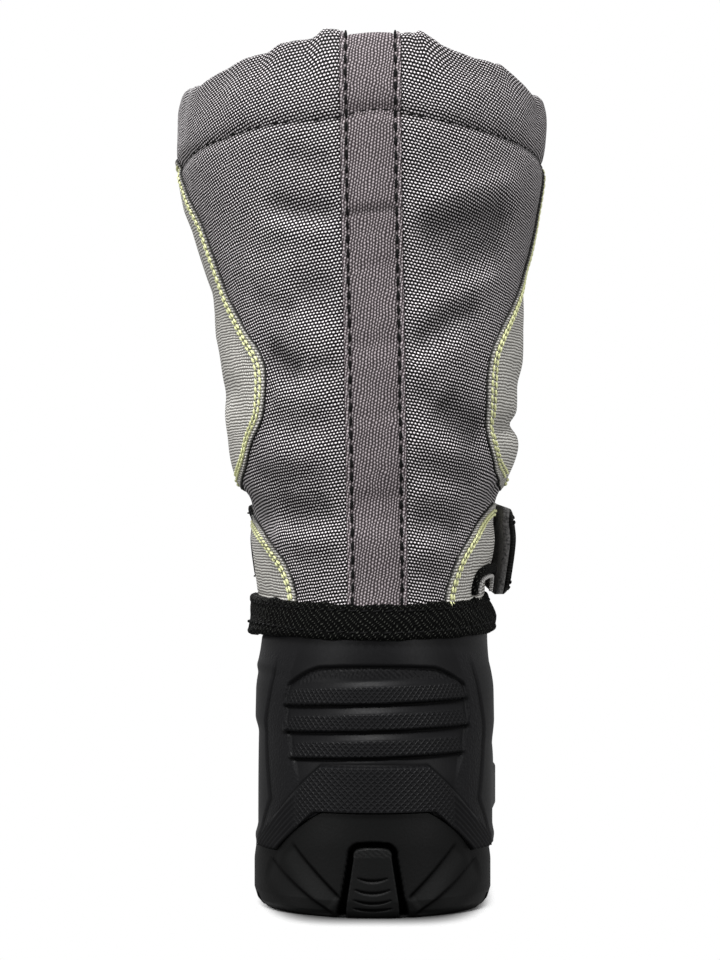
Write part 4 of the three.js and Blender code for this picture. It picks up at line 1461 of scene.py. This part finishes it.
def make_stage():
    floor = bpy.data.meshes.new("floor")
    floor.from_pydata([(-1, -1, 0), (1, -1, 0), (1, 1, 0), (-1, 1, 0)], [], [(0, 1, 2, 3)])
    paint, tree, shader = material(
        "matt_white_paint_rolled", Roughness=0.9, Specular_IOR_Level=0.0, Emission_Strength=0.0,
    )
    # The floor keeps the boot's soft shadow close to the sole, and melts into the white backdrop beyond it.
    # Part of that shadow is a painted shadow in the floor's colour.
    place = vectors(tree, "ADD", spot(tree), (0, 0.07, 0))
    place = vectors(tree, "MULTIPLY", place, (3.45, 1, 0))
    # squaring first gives the distance square shoulders, so that the painted shadow runs the full width of the
    # heel
    place = vectors(tree, "MULTIPLY", place, place)
    away = add(tree, "ShaderNodeVectorMath", {0: place}, operation="LENGTH").outputs["Value"]
    away = maths(tree, "SQRT", away)
    fade = between(tree, away, 0.108, 0.126, 1.0, 0.0, interpolation_type="SMOOTHSTEP")
    tree.links.new(fade, shader.inputs["Alpha"])
    # painted shadow: the floor's colour darkens towards the sole
    near = between(tree, away, 0.102, 0.122, 0.12, 1.0)
    colour = times(tree, ramp(tree, blotch(tree, 60, 0.01), (0.0, "d4d4d4"), (1.0, "dcdcdc")), near)
    tree.links.new(colour, shader.inputs["Base Color"])
    floor.materials.append(paint)
    link("floor", floor)
    world = bpy.data.worlds.new("studio")
    bpy.context.scene.world = world
    world.use_nodes = True
    # The backdrop is white to look at, but it lights the boot only dimly, as a white wall some way off does.
    tree, lit = world.node_tree, world.node_tree.nodes["Background"]
    lit.inputs["Color"].default_value = (1, 1, 1, 1)
    seen = add(tree, "ShaderNodeLightPath").outputs["Is Camera Ray"]
    tree.links.new(maths(tree, "MULTIPLY_ADD", seen, 0.6, 0.4), lit.inputs["Strength"])


def lamp(name, place, target, size, energy):
    data = bpy.data.lights.new(name, "AREA")
    data.shape, data.size, data.energy = "SQUARE", size, energy
    piece = link(name, data)
    piece.location = place
    piece.rotation_euler = (Vector(target) - Vector(place)).to_track_quat("-Z", "Y").to_euler()


make_stage()
lamp("key", (0.16, 0.62, 1.27), (0, -0.02, 0.13), 0.34, 22)
lamp("left_fill", (0.95, 0.75, 0.35), (0, -0.02, 0.12), 0.6, 5.7)
lamp("right_fill", (-0.95, 0.75, 0.35), (0, -0.02, 0.12), 0.6, 5.2)
lamp("top", (0, -0.25, 1.3), (0, -0.02, 0.1), 0.8, 9)
lamp("front_fill", (0.35, -1.2, 0.75), (0, -0.06, 0.1), 0.6, 9)
bpy.context.scene.view_settings.view_transform = "Standard"
